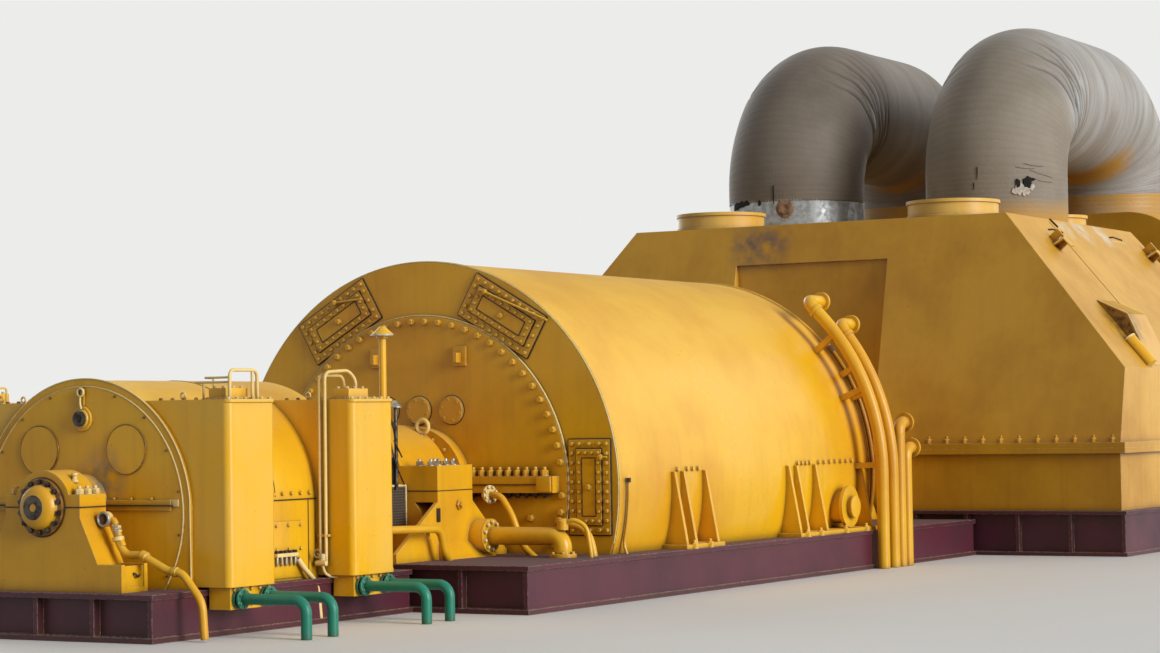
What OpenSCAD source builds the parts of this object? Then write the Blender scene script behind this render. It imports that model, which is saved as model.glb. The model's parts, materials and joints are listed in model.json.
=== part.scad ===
// Turbine generator set on one shaft line: exciter with its air coolers, generator,
// low-pressure hood, two crossover pipes and the casing that feeds them.
// X runs along the shaft, Y is across it, Z is up from the floor.

/* [Shaft line] */
// Height of the shaft centre above the floor
shaft_h = 1000; // [900:10:1400]
// Thickness of the flange plates of the bedplates
bed_plate_t = 40; // [20:5:60]
// Depth by which a bedplate web stands back from its edges
bed_web_in = 90; // [40:10:160]
// Distance between the upright ribs of a bedplate
bed_rib_pitch = 620; // [400:20:1200]

/* [Exciter] */
// Distance from the exciter front to the generator front
exc_ahead = 4730; // [4500:10:5200]
// Length of the exciter casing
exc_len = 2200; // [2100:10:2600]
// Radius of the exciter casing
exc_r = 1030; // [980:10:1120]
// Depth of the centre of the exciter's round below the shaft
exc_sink = 60; // [20:5:90]
// Radius of the round front cover
exc_cover_r = 985; // [800:5:1000]
// Thickness of the exciter front plate
exc_plate_t = 40; // [20:5:60]
// Height from the exciter bedplate up to the shaft centre
exc_drop = 640; // [500:10:700]
// Half width of the exciter bedplate
exc_bed_half_w = 1150; // [1100:10:1160]
// Radius of the boss behind the front bearing
exc_boss_r = 240; // [200:5:270]
// Radius of the two round covers on the exciter front
exc_port_r = 190; // [150:5:220]

/* [Air coolers] */
// Length of one cooler box along the shaft
cool_len = 580; // [400:10:700]
// Distance from the shaft to the outer face of a cooler box
cool_out = 1400; // [1300:10:1450]
// Height of a cooler box above the shaft
cool_top = 800; // [600:10:950]
// Distance between the two boxes of one side
cool_gap = 1030; // [800:10:1100]
// Radius of the upright outer corners of a box
cool_corner_r = 60; // [20:5:120]
// Thickness of the bolted lid
cool_lid_t = 25; // [15:1:40]
// Height of the water header under a box
header_h = 170; // [150:10:220]
// Radius of the cooling water pipes
water_pipe_r = 42; // [30:1:50]
// Distance from the shaft to the upright legs of the cooling water pipes
water_reach = 2000; // [1700:10:2200]
// Length of the vent block on a lid
vent_block_len = 270; // [200:10:350]
// Radius of the vent post beside the exciter
vent_post_r = 30; // [20:1:40]
// Height of the vent post over the exciter bedplate
vent_post_h = 2050; // [1800:10:2200]

/* [Front bearing] */
// Length of the front bearing pedestal
front_ped_len = 300; // [260:10:400]
// Space between the front bearing and the exciter
front_gap = 170; // [120:10:220]
// Radius of the front bearing cap
front_cap_r = 280; // [250:10:300]
// Half width over the bolted ears of the front bearing
front_ear = 370; // [350:10:450]
// Thickness of one ear
front_ear_t = 95; // [60:5:120]
// Half width of the pedestal under its ears
front_neck = 330; // [300:10:345]
// Half width of the pedestal where it meets its feet
front_spread = 540; // [450:10:600]
// Half width over the feet of the pedestal
front_foot = 770; // [700:10:900]
// Height of the feet
front_foot_h = 210; // [150:10:260]
// Radius of the bolted ring of the round bearing cover
hub_r = 220; // [180:5:240]
// Distance by which the round bearing cover stands out
hub_out = 110; // [80:5:160]

/* [Bearing pedestals] */
// Distance from the exciter rear to the generator front bearing pedestal
mid_ped_off = 1350; // [1000:10:1500]
// Length of the generator front bearing pedestal
mid_ped_len = 780; // [600:10:900]
// Radius of the generator front bearing cap
mid_cap_r = 580; // [500:10:620]
// Half width over the bolted ears of that bearing
mid_ear = 950; // [850:10:1000]
// Length of those ears
mid_ear_len = 560; // [450:10:650]
// Height of the upper ear
mid_ear_t = 220; // [150:10:260]
// Distance by which the side plates spread ahead of the pedestal
mid_spread_front = 650; // [400:10:750]
// Distance by which the side plates spread behind the ears
mid_spread_rear = 560; // [300:10:600]
// Half width of the generator bearing pedestal at its foot
mid_foot = 1050; // [1000:10:1150]
// Length of the pedestal between generator and turbine
main_ped_len = 1900; // [1500:10:2100]
// Radius of the cap between generator and turbine
main_cap_r = 760; // [600:10:850]
// Half width over the ears of that cap
main_ear = 900; // [860:10:950]
// Half width of that pedestal at its foot
main_foot = 1100; // [1000:10:1200]
// Radius of the guard over the main coupling
main_guard_r = 420; // [350:10:450]
// Length of the pedestal at the turbine end
end_ped_len = 1400; // [1000:10:1800]
// Radius of the cap at the turbine end
end_cap_r = 800; // [700:10:850]
// Half width over the ears of that cap
end_ear = 1000; // [950:10:1100]
// Half width of the end pedestal at its foot
end_foot = 1300; // [1200:10:1500]
// Radius of the drain pipe on the generator bearing pedestal
drain_r = 80; // [60:5:95]
// Distance from the shaft to the upright leg of the drain pipe
drain_reach = 1840; // [1600:10:2000]

/* [Generator] */
// Length of the generator over its end rings
gen_len = 5450; // [5200:10:6000]
// Outer radius of the generator end rings
gen_r = 2100; // [2000:10:2150]
// Thickness of an end ring
gen_ring_t = 60; // [40:5:80]
// Step from the end ring down to the shell
gen_rim_step = 14; // [8:1:30]
// Radius of the bolted inner end shield
gen_shield_r = 1585; // [1500:5:1590]
// Thickness of the inner end shield where it stands ahead of the ring
gen_shield_t = 30; // [20:1:50]
// Height from the generator bedplate up to the shaft centre
gen_drop = 600; // [500:10:700]
// Half width of the generator bedplate
gen_bed_half_w = 2300; // [2260:10:2310]
// Length of one hatch cover
hatch_len = 850; // [700:10:900]
// Width of one hatch cover
hatch_w = 425; // [300:5:430]
// Radius of the boss in the middle of the end shield
gen_boss_r = 560; // [500:10:600]
// Height of the bolted joint bar across the end shield
gen_bar_h = 150; // [100:10:200]
// Distance from the generator front to its first foot plate
foot_front = 1000; // [800:10:1200]
// Distance from the generator rear to its first rear foot plate
foot_rear = 2050; // [1800:10:2200]
// Distance between two plates of one foot
foot_pitch = 180; // [120:10:220]
// Half width of the foot plates at the top
foot_top_w = 2120; // [2105:5:2160]
// Half width of the foot plates at the bedplate
foot_half_w = 2250; // [2200:10:2260]
// Radius of the ring pipes
ring_pipe_r = 65; // [50:5:75]
// Clear space between the shell and a ring pipe
ring_pipe_gap = 240; // [235:5:300]

/* [Low-pressure casing] */
// Distance from the generator to the foot of the hood
lp_gap = 2450; // [2300:10:2600]
// Length of the hood at its foot
lp_len = 5740; // [5500:10:6200]
// Half width of the hood at its foot
lp_half_w = 4000; // [3700:10:4200]
// Height of the joint flange above the shaft
lp_joint = 200; // [150:10:300]
// Height of the shoulder above the shaft
lp_shoulder = 1090; // [900:10:1400]
// Height of the flat top above the shaft
lp_top = 2930; // [2600:10:3000]
// Height of the casing below the shaft
lp_bed_drop = 500; // [400:10:550]
// Half width of the flat top
lp_top_half_w = 2450; // [2400:10:2700]
// Run of the end wall from its foot to its top edge
lp_end_run = 670; // [300:10:700]
// Half width of the upright recess in the end wall
lp_recess_half_w = 1000; // [900:10:1200]
// Distance from the recess top down from the flat top
lp_recess_down = 480; // [300:10:800]
// Thickness of one joint flange
joint_t = 60; // [40:5:90]
// Overhang of the joint flanges
joint_lip = 80; // [50:5:100]
// Radius of the relief covers on the flat top
relief_r = 560; // [450:10:600]
// Radius of the smaller relief covers behind the crossover pipes
relief_rear_r = 480; // [400:10:500]
// Height of the relief covers
relief_h = 210; // [120:10:300]
// Distance from the shaft plane to a relief cover
relief_y = 1560; // [1500:10:1650]

/* [Crossover pipes] */
// Outer radius of the insulated crossover pipe
cross_r = 890; // [700:10:900]
// Distance from the shaft plane to a crossover pipe
cross_y = 1390; // [1300:10:1450]
// Radius of the bends on the pipe's centre line
cross_bend = 1160; // [1000:10:1300]
// Straight length between the two bends
cross_run = 1790; // [1700:5:2100]
// Distance from the hood foot to the first leg
cross_x = 3090; // [3000:10:3200]
// Length of the first leg between its nozzle and the bend
cross_leg = 400; // [300:10:600]
// Height of the nozzle under the first leg
nozzle_h = 200; // [120:10:300]
// Height of the nozzle under the second leg
hp_nozzle_h = 240; // [150:10:350]
// Step in from the pipe to its nozzle
nozzle_step = 30; // [15:5:45]

/* [High-pressure casing] */
// Distance between the two turbine casings at their feet
hp_gap = 560; // [400:10:800]
// Length of the casing
hp_len = 4200; // [4000:10:4600]
// Half width of the casing
hp_half_w = 2950; // [2900:10:3300]
// Radius of the casing between the two turbine casings
hp_neck_r = 700; // [500:10:800]
// Radius of the rounded shoulders
hp_round = 1000; // [700:10:1200]

/* [Hidden] */
$fn = 96;
fine = 360;
over = 1;
bed_lip = 60;
exc_x = -exc_ahead;
exc_rear = exc_x + exc_len;
front_x = exc_x - front_gap - front_ped_len;
x_front = front_x - hub_out;
mid_ped_x = exc_rear + mid_ped_off;
mid_ped_rear = mid_ped_x + mid_ped_len;
lp_x = gen_len + lp_gap;
lp_rear = lp_x + lp_len;
hp_x = lp_rear + hp_gap;
hp_rear = hp_x + hp_len;
x_rear = hp_rear + end_ped_len + bed_lip;
x_mid = (x_front + x_rear) / 2;
exc_bed_top = shaft_h - exc_drop;
gen_bed_top = shaft_h - gen_drop;
lp_bed_top = shaft_h - lp_bed_drop;
gen_bed_x = mid_ped_x - mid_spread_front - bed_lip;
gen_bed_rear = lp_x - joint_lip;
rib_t = 40;
ear_in = 60;
cool_in = 540;
guard_r = 330;
cool_x = [exc_x + exc_plate_t, exc_x + exc_plate_t + cool_len + cool_gap];
water_z = -exc_drop - 70;
shell_r = gen_r - gen_rim_step;
gen_bore_r = gen_shield_r - 70;
gen_boss_t = 120;
ring_pipe_mid = shell_r + ring_pipe_gap + ring_pipe_r;
ring_front_x = gen_len - 380;
ring_front_a = 44;
ring_rear_x = gen_len - 120;
ring_rear_a = 52.5;
riser_top = [520, 250];
hatch_r = gen_r - hatch_w / 2 - 82;
end_slope = lp_end_run / (lp_top - lp_joint);
recess_back = end_slope * (lp_top - lp_recess_down - lp_joint) + 40;
roof_angle = atan2(lp_top - lp_shoulder, lp_half_w - lp_top_half_w);
cross_leg_x = lp_x + cross_x;
cross_rear_x = cross_leg_x + 2 * cross_bend + cross_run;
cross_spring = lp_top + nozzle_h + cross_leg;
hp_top = cross_spring - hp_nozzle_h;
paint = "#e0a82c";
maroon = "#4a2230";
green = "#1d8a6c";
lagging = "#8a8178";

// Draws in the shaft frame: X from the generator front, Z from the shaft centre
module on_shaft() translate([-x_mid, 0, shaft_h]) children();

// Extrudes a cross section (Y, Z from the shaft) along the shaft
module along_x(x, l) translate([x, 0, 0]) rotate([90, 0, 90]) linear_extrude(l) children();

// Extrudes a side view (X, Z from the shaft) across the shaft, from y to y + w
module along_y(y, w) translate([0, y + w, 0]) rotate([90, 0, 0]) linear_extrude(w) children();

// Round body on the shaft line
module shaft_round(x, l, r) translate([x, 0, 0]) rotate([0, 90, 0]) cylinder(h = l, r = r, $fn = fine);

module both_sides() {
    children();
    mirror([0, 1, 0]) children();
}

// Half disc on top of a body with upright sides, reaching down by drop
module arch(r, drop) {
    intersection() {
        circle(r, $fn = fine);
        translate([-r, 0]) square([2 * r, r]);
    }
    if (drop > 0) translate([-r, -drop]) square([2 * r, drop + over / 100]);
}

// Built-up bedplate: top and bottom flanges, a web that stands back, upright ribs
module bedplate(x, l, half_w, top) {
    core_l = l - 2 * bed_web_in;
    rib_n = round(core_l / bed_rib_pitch);
    side_n = round(2 * half_w / bed_rib_pitch);
    translate([x, -half_w, 0]) cube([l, 2 * half_w, bed_plate_t]);
    translate([x, -half_w, top - bed_plate_t]) cube([l, 2 * half_w, bed_plate_t]);
    translate([x + bed_web_in, -half_w + bed_web_in, 0])
        cube([core_l, 2 * (half_w - bed_web_in), top]);
    for (i = [0 : rib_n])
        translate([x + bed_web_in + i * (core_l - bed_plate_t) / rib_n, -half_w + 20, 0])
            cube([bed_plate_t, 2 * half_w - 40, top]);
    for (i = [0 : side_n])
        translate([x + 20, -half_w + 20 + i * (2 * half_w - 40 - bed_plate_t) / side_n, 0])
            cube([l - 40, bed_plate_t, top]);
}

module exciter_bedplate() color(maroon) translate([-x_mid, 0, 0])
    bedplate(x_front, gen_bed_x - x_front, exc_bed_half_w, exc_bed_top);

module generator_bedplate() color(maroon) translate([-x_mid, 0, 0])
    bedplate(gen_bed_x, gen_bed_rear - gen_bed_x, gen_bed_half_w, gen_bed_top);

module turbine_bedplate() color(maroon) translate([-x_mid, 0, 0]) {
    bedplate(gen_bed_rear, hp_x - gen_bed_rear, lp_half_w + joint_lip, lp_bed_top);
    bedplate(hp_x, x_rear - hp_x, hp_half_w + joint_lip, lp_bed_top);
}

// Quarter bend from upright into +X, standing on its lower end
module bend_over(bend, r) translate([bend, 0, 0]) rotate([90, 0, 0]) rotate([0, 0, 90])
    rotate_extrude(angle = 90) translate([bend, 0]) circle(r);

// Pipe up, over and down again: span along X, legs of the two given lengths below the bends
module hoop(span, bend, r, legs) {
    for (end = [0, 1]) translate([end * span, 0, 0]) mirror([end, 0, 0]) {
        bend_over(bend, r);
        if (legs[end] > 0) translate([0, 0, -legs[end]]) cylinder(h = legs[end], r = r);
    }
    translate([bend, 0, bend]) rotate([0, 90, 0]) cylinder(h = span - 2 * bend, r = r);
}

// Trapezoid that carries a bearing: top half width a, foot half width b
module pedestal_outline(a, b, drop) polygon([[-a, 0], [a, 0], [b, -drop], [-b, -drop]]);

// Joint flange either side of a round cap, t high from the joint up
module ears(inner, outer, t) for (s = [0, 1]) mirror([s, 0, 0])
    translate([inner, 0]) square([outer - inner, t]);

module front_bearing_pedestal() color(paint) on_shaft() {
    foot_w = front_foot - front_spread;
    along_x(front_x, front_ped_len) polygon([
        [-front_neck, 0], [front_neck, 0], [front_spread, -exc_drop + front_foot_h],
        [front_spread, -exc_drop], [-front_spread, -exc_drop], [-front_spread, -exc_drop + front_foot_h]
    ]);
    along_x(front_x, front_ped_len) translate([0, -front_ear_t])
        ears(front_neck - ear_in, front_ear, front_ear_t);
    both_sides() translate([front_x, front_spread - over, -exc_drop]) {
        cube([front_ped_len, foot_w + over, rib_t]);
        for (x = [0, front_ped_len - rib_t]) translate([x, 0, 0])
            cube([rib_t, foot_w + over, front_foot_h]);
    }
}

module front_bearing_cap() color(paint) on_shaft() {
    along_x(front_x, front_ped_len) arch(front_cap_r, 0);
    along_x(front_x, front_ped_len) ears(front_cap_r - ear_in, front_ear, front_ear_t);
}

// Bolted ring, cone and end disc of the round cover, turned about the shaft
module front_bearing_cover() color(paint) on_shaft()
    translate([front_x, 0, 0]) rotate([0, -90, 0]) rotate_extrude() polygon([
        [0, 0], [hub_r, 0], [hub_r, 0.3 * hub_out], [0.74 * hub_r, 0.3 * hub_out],
        [0.68 * hub_r, 0.6 * hub_out], [0.5 * hub_r, hub_out], [0, hub_out]
    ]);

module exciter_lower_casing() color(paint) on_shaft()
    along_x(exc_x + exc_plate_t, exc_len - exc_plate_t)
        translate([-exc_r, -exc_drop]) square([2 * exc_r, exc_drop]);

// Round of the exciter above its joint
module exciter_round(r) intersection() {
    translate([0, -exc_sink]) circle(r, $fn = fine);
    translate([-r, 0]) square([2 * r, r]);
}

module exciter_upper_casing() color(paint) on_shaft()
    along_x(exc_x + exc_plate_t, exc_len - exc_plate_t) exciter_round(exc_r);

// Front plate, round cover, the boss that reaches the bearing, joint bar and two round ports
module exciter_front_cover() color(paint) on_shaft() {
    step = 12;
    edge = exc_r + step;
    along_x(exc_x + step, exc_plate_t - step) difference() {
        union() {
            exciter_round(edge);
            translate([-edge, -exc_drop]) square([2 * edge, exc_drop]);
        }
        translate([0, -exc_sink]) circle(exc_cover_r, $fn = fine);
    }
    along_x(exc_x, exc_plate_t) intersection() {
        translate([0, -exc_sink]) circle(exc_cover_r, $fn = fine);
        translate([-exc_cover_r, -exc_drop]) square([2 * exc_cover_r, exc_drop + exc_cover_r]);
    }
    shaft_round(exc_x - front_gap, front_gap + over, exc_boss_r);
    both_sides() translate([exc_x - 20, exc_boss_r - step, -rib_t])
        cube([20 + over, 0.9 * exc_cover_r - exc_boss_r, 2 * rib_t]);
    both_sides() translate([exc_x - step, exc_cover_r * 0.445, exc_cover_r * 0.435]) rotate([0, 90, 0])
        cylinder(h = step + over, r = exc_port_r);
}

// Box with rounded outer corners, cut where the exciter casing passes, on the +Y side
module cooler(i) color(paint) on_shaft() translate([cool_x[i], 0, 0]) {
    header_in = exc_bed_half_w + 10;
    difference() {
        union() {
            translate([0, 0, -exc_drop + 20]) cooler_outline(0, cool_top + exc_drop - 20);
            translate([0, 0, cool_top - cool_lid_t]) cooler_outline(12, cool_lid_t);
        }
        translate([0, 0, -exc_sink]) shaft_round(-50, cool_len + 100, exc_r);
        translate([-50, -exc_r, -exc_drop]) cube([cool_len + 100, 2 * exc_r, exc_drop]);
    }
    translate([rib_t, header_in, 20 - exc_drop - header_h])
        cube([cool_len - 2 * rib_t, cool_out - rib_t - header_in, header_h + over]);
    translate([100, cool_out - 270, cool_top - over]) cube([vent_block_len, 160, 85 + over]);
}

// Plan of a cooler box, grown outward by lip, drawn h high
module cooler_outline(lip, h) linear_extrude(h) {
    r = cool_corner_r;
    y = cool_out + lip;
    translate([0, cool_in]) square([cool_len, y - r - cool_in]);
    translate([r, cool_in]) square([cool_len - 2 * r, y - cool_in]);
    for (x = [r, cool_len - r]) translate([x, y - r]) circle(r);
}

module cooler_front_left() cooler(0);
module cooler_front_right() mirror([0, 1, 0]) cooler(0);
module cooler_rear_left() cooler(1);
module cooler_rear_right() mirror([0, 1, 0]) cooler(1);

// One pipe, drawn along +X: flange on the header, run outward, bend, leg down to the floor
module water_pipe() {
    r = water_pipe_r;
    bend = 2.4 * r;
    reach = water_reach - cool_out + rib_t;
    rotate([0, 90, 0]) cylinder(h = 0.6 * r, r = 1.75 * r);
    rotate([0, 90, 0]) cylinder(h = reach - bend, r = r);
    translate([reach, 0, -bend]) mirror([1, 0, 0]) bend_over(bend, r);
    translate([reach, 0, -shaft_h - water_z]) cylinder(h = shaft_h + water_z - bend, r = r);
}

module cooling_water_pipes() color(green) on_shaft() both_sides()
    for (x = cool_x, end = [0.22, 0.8])
        translate([x + end * cool_len, cool_out - rib_t, water_z]) rotate([0, 0, 90]) water_pipe();

module exciter_coupling_guard() color(paint) on_shaft() {
    along_x(exc_rear, gen_bed_x - exc_rear) arch(guard_r, exc_drop);
    along_x(gen_bed_x, mid_ped_x - gen_bed_x) arch(guard_r, gen_drop);
    for (x = [exc_rear, mid_ped_x - rib_t]) along_x(x, rib_t) arch(guard_r + rib_t, gen_drop);
}

module vent_post() color(paint) on_shaft()
    translate([exc_rear + 300, -exc_bed_half_w + rib_t, -exc_drop]) {
        r = vent_post_r;
        cap_h = 2.3 * r;
        cylinder(h = r, r = 2.3 * r);
        cylinder(h = vent_post_h - cap_h, r = r);
        translate([0, 0, vent_post_h - cap_h - r]) cylinder(h = 1.3 * r, r = 1.7 * r);
        translate([0, 0, vent_post_h - cap_h]) cylinder(h = cap_h, r1 = 3.2 * r, r2 = 0.7 * r);
    }

// Core with leaning sides between two A-shaped side plates that carry the ears
module generator_bearing_pedestal() color(paint) on_shaft() {
    low_ear_t = 0.45 * mid_ear_t;
    along_x(mid_ped_x, mid_ped_len) pedestal_outline(mid_cap_r + 60, mid_foot, gen_drop);
    along_x(mid_ped_x, mid_ear_len) translate([0, -low_ear_t])
        ears(mid_cap_r - ear_in, mid_ear, low_ear_t);
    both_sides() along_y(mid_ear - rib_t, rib_t) difference() {
        translate([mid_ped_x, 0]) polygon([
            [0, -over], [mid_ear_len, -over], [mid_ear_len, -low_ear_t],
            [mid_ear_len + mid_spread_rear, -gen_drop + rib_t], [mid_ear_len + mid_spread_rear, -gen_drop],
            [-mid_spread_front, -gen_drop], [-mid_spread_front, -gen_drop + 2 * rib_t],
            [0, -low_ear_t]
        ]);
        translate([mid_ped_x - 0.25 * mid_spread_front, -0.62 * gen_drop]) circle(30);
    }
    both_sides() translate([mid_ped_x - mid_spread_front, mid_ear - 0.5 * mid_spread_front, -gen_drop])
        cube([mid_spread_front + over, 0.5 * mid_spread_front, rib_t]);
    translate([drain_x, -drain_seat, drain_z]) rotate([-90, 0, 0]) cylinder(h = 250, r = 1.9 * drain_r);
}

module generator_bearing_cap() color(paint) on_shaft() {
    along_x(mid_ped_x, mid_ped_len) arch(mid_cap_r, 0);
    along_x(mid_ped_x, rib_t) arch(mid_cap_r + 20, 0);
    along_x(mid_ped_x, mid_ear_len) ears(mid_cap_r - ear_in, mid_ear, mid_ear_t);
}

drain_x = mid_ped_rear - 1.9 * drain_r;
drain_z = -gen_drop + 2.3 * drain_r;
drain_seat = mid_foot + 20;
// Bolted flange on the pedestal, run outward, bend, leg and flange on the bedplate
module bearing_drain_pipe() color(paint) on_shaft()
    translate([drain_x, -drain_seat, drain_z]) rotate([0, 0, -90]) {
        r = drain_r;
        bend = 1.3 * r;
        reach = drain_reach - drain_seat;
        rotate([0, 90, 0]) cylinder(h = 0.4 * r, r = 1.9 * r);
        rotate([0, 90, 0]) cylinder(h = reach - bend, r = r);
        translate([reach, 0, -bend]) mirror([1, 0, 0]) bend_over(bend, r);
        translate([reach, 0, -gen_drop - drain_z]) cylinder(h = gen_drop + drain_z - bend, r = r);
        translate([reach, 0, -gen_drop - drain_z]) cylinder(h = 0.4 * r, r = 1.5 * r);
    }

// What stands below the bedplate is cut away
module above_bed(x, l, r, drop) translate([x, -r - over, -drop]) cube([l, 2 * r + 2 * over, 3 * r]);

module generator_casing() color(paint) on_shaft() intersection() {
    shaft_round(gen_ring_t, gen_len - 2 * gen_ring_t, shell_r);
    above_bed(0, gen_len, gen_r, gen_drop);
}

// End ring with its stepped rim, drawn facing -X with its face at x = 0
module gen_ring() intersection() {
    difference() {
        union() {
            shaft_round(0, gen_ring_t, gen_r - gen_rim_step);
            shaft_round(gen_rim_step, gen_ring_t - gen_rim_step, gen_r);
        }
        shaft_round(-over, gen_ring_t + 2 * over, gen_bore_r);
    }
    above_bed(0, gen_ring_t, gen_r, gen_drop);
}

// Shows a piece at the front of the generator, or turned round at its rear
module at_rear() translate([gen_len, 0, 0]) mirror([1, 0, 0]) children();

module generator_front_ring() color(paint) on_shaft() gen_ring();
module generator_rear_ring() color(paint) on_shaft() at_rear() gen_ring();

// Bolted inner shield, drawn facing -X: boss, joint bar, three round covers, two lugs
module gen_shield() intersection() {
    union() {
        shaft_round(-gen_shield_t, gen_shield_t, gen_shield_r);
        shaft_round(0, gen_ring_t, gen_bore_r);
        shaft_round(-gen_shield_t - gen_boss_t, gen_boss_t, gen_boss_r);
        translate([-gen_shield_t - 110, -gen_shield_r + 90, -gen_bar_h / 3])
            cube([110, 2 * gen_shield_r - 180, gen_bar_h]);
        for (y = [-360, 0, 360]) translate([-gen_shield_t - 30, y, gen_boss_r + 150]) rotate([0, 90, 0])
            cylinder(h = 30, r = 125);
        both_sides() translate([-gen_shield_t, 0.29 * gen_shield_r, 0.76 * gen_shield_r]) {
            translate([-25, -70, -90]) cube([25 + over, 140, 180]);
            translate([-100, -20, -60]) cube([100, 40, 90]);
        }
    }
    above_bed(-400, 800, gen_shield_r, gen_drop);
}

module generator_front_shield() color(paint) on_shaft() {
    gen_shield();
    shaft_round(mid_ped_rear, -mid_ped_rear - gen_shield_t, 0.75 * gen_boss_r);
}

module generator_rear_shield() color(paint) on_shaft() at_rear() gen_shield();

// Four hatches around the ring, drawn facing -X: a frame and the cover bolted into it
module hatches() for (a = [-90, -30, 30, 90]) rotate([a, 0, 0]) {
    border = 85;
    translate([-16, -hatch_len / 2, hatch_r - hatch_w / 2]) cube([16, hatch_len, hatch_w]);
    translate([-30, -hatch_len / 2 + border, hatch_r - hatch_w / 2 + border])
        cube([30, hatch_len - 2 * border, hatch_w - 2 * border]);
}

module generator_front_hatches() color(paint) on_shaft() hatches();
module generator_rear_hatches() color(paint) on_shaft() at_rear() hatches();

foot_a = [foot_front, foot_front + foot_pitch, foot_front + 3.4 * foot_pitch];
foot_b = gen_len - foot_rear;
foot_c = [foot_b, foot_b + foot_pitch, foot_b + 3.4 * foot_pitch, gen_len - 350];
port_x = gen_len - 790;
port_z = -0.57 * gen_drop;
// Foot plates that hug the shell, the sole plates under them and a round side port
module generator_feet() color(paint) on_shaft() difference() {
    union() {
        for (x = concat(foot_a, foot_c)) along_x(x, rib_t) polygon([
            [0, 110], [foot_top_w, 110], [foot_half_w, -gen_drop], [0, -gen_drop]
        ]);
        for (span = [foot_a, foot_c]) translate([span[0] - 50, 0, -gen_drop])
            cube([span[len(span) - 1] - span[0] + 140, foot_half_w + 20, rib_t]);
        translate([port_x, shell_r - 300, port_z]) rotate([-90, 0, 0])
            cylinder(h = foot_half_w - shell_r + 260, r = 170);
        translate([port_x, foot_half_w - 80, port_z]) rotate([-90, 0, 0]) cylinder(h = rib_t, r = 215);
    }
    shaft_round(0, gen_len, shell_r);
}

module generator_feet_left() generator_feet();
module generator_feet_right() mirror([0, 1, 0]) generator_feet();

// Pipe round the shell from the angle a off the top and down to the floor, on the +Y side,
// with an elbow at its upper end that turns along the shaft into a flanged stub
module ring_pipe(x, a, stub) {
    r = ring_pipe_r;
    bend = 1.8 * r;
    translate([x, 0, 0]) rotate([0, 90, 0]) rotate([0, 0, 90])
        rotate_extrude(angle = 90 - a) translate([ring_pipe_mid, 0]) circle(r);
    translate([x, ring_pipe_mid, -shaft_h]) cylinder(h = shaft_h, r = r);
    rotate([-a, 0, 0]) translate([x, 0, ring_pipe_mid]) {
        rotate([90, 0, 0]) cylinder(h = rib_t, r = r);
        rotate([90, 0, 0]) translate([0, 0, -0.3 * r]) cylinder(h = 0.6 * r, r = 1.2 * r);
        translate([0, -rib_t, 0]) rotate([90, 0, 0]) bend_over(bend, r);
        translate([bend, -rib_t - bend, 0]) rotate([0, 90, 0]) cylinder(h = stub, r = r);
        translate([bend + stub, -rib_t - bend, 0]) rotate([0, 90, 0]) cylinder(h = 0.5 * r, r = 1.6 * r);
    }
    difference() {
        for (t = [a + 8, 68, 88]) rotate([-t, 0, 0])
            translate([x - 30, -30, shell_r - 20]) cube([60, 60, ring_pipe_gap + 40]);
        shaft_round(0, gen_len, shell_r);
        shaft_round(gen_len - gen_ring_t, gen_ring_t, gen_r);
    }
}

module ring_pipe_front() color(paint) on_shaft() both_sides()
    ring_pipe(ring_front_x, ring_front_a, 230);
module ring_pipe_rear() color(paint) on_shaft() both_sides()
    ring_pipe(ring_rear_x, ring_rear_a, 170);

// Upright pipes behind the ring pipes, each held by a bracket on the edge of the bedplate
module riser_pipes() color(paint) on_shaft() both_sides()
    for (i = [0, 1]) translate([gen_len + 60 + i * 2.6 * ring_pipe_r, ring_pipe_mid, -shaft_h]) {
        r = ring_pipe_r;
        bend = 1.8 * r;
        h = shaft_h + riser_top[i] - bend;
        cylinder(h = h, r = r);
        translate([-0.4 * r, gen_bed_half_w - ring_pipe_mid, gen_bed_top - bed_plate_t])
            cube([0.8 * r, ring_pipe_mid - gen_bed_half_w, bed_plate_t]);
        translate([0, 0, h]) bend_over(bend, r);
        translate([bend, 0, h + bend]) rotate([0, 90, 0]) cylinder(h = 0.4 * r, r = r);
        translate([bend + 0.4 * r, 0, h + bend]) rotate([0, 90, 0]) cylinder(h = 0.5 * r, r = 1.6 * r);
    }

main_ped_x = lp_x + recess_back - main_ped_len;
guard_x = gen_len + gen_shield_t + gen_boss_t;
module main_bearing_pedestal() color(paint) on_shaft() {
    along_x(main_ped_x, lp_x - joint_lip - main_ped_x) pedestal_outline(main_ear, main_foot, gen_drop);
    along_x(lp_x - joint_lip, main_ped_x + main_ped_len - lp_x + joint_lip)
        translate([-main_ear, -lp_bed_drop]) square([2 * main_ear, lp_bed_drop]);
}

module main_coupling_guard() color(paint) on_shaft()
    along_x(guard_x, main_ped_x - guard_x) arch(main_guard_r, gen_drop);

module main_bearing_cap() color(paint) on_shaft() {
    along_x(main_ped_x, main_ped_len) arch(main_cap_r, 0);
    along_x(main_ped_x, main_ped_len - recess_back) ears(main_cap_r - ear_in, main_ear, 130);
}

// Outline of the hood across the shaft
module hood_section() polygon([
    [-lp_half_w, lp_joint], [lp_half_w, lp_joint], [lp_half_w, lp_shoulder],
    [lp_top_half_w, lp_top], [-lp_top_half_w, lp_top], [-lp_half_w, lp_shoulder]
]);

// Outline of the hood seen from the side
module hood_side() polygon([
    [lp_x, lp_joint], [lp_rear, lp_joint],
    [lp_rear - lp_end_run, lp_top], [lp_x + lp_end_run, lp_top]
]);

// Upright recess in the front end wall, open below and in front
module recess() {
    top = lp_top - lp_recess_down;
    translate([lp_x - 500, -lp_recess_half_w, -lp_bed_drop - over])
        cube([500 + recess_back, 2 * lp_recess_half_w, lp_bed_drop + top + over]);
}

module both_ends() {
    children();
    translate([lp_x + lp_rear, 0, 0]) mirror([1, 0, 0]) children();
}

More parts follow.
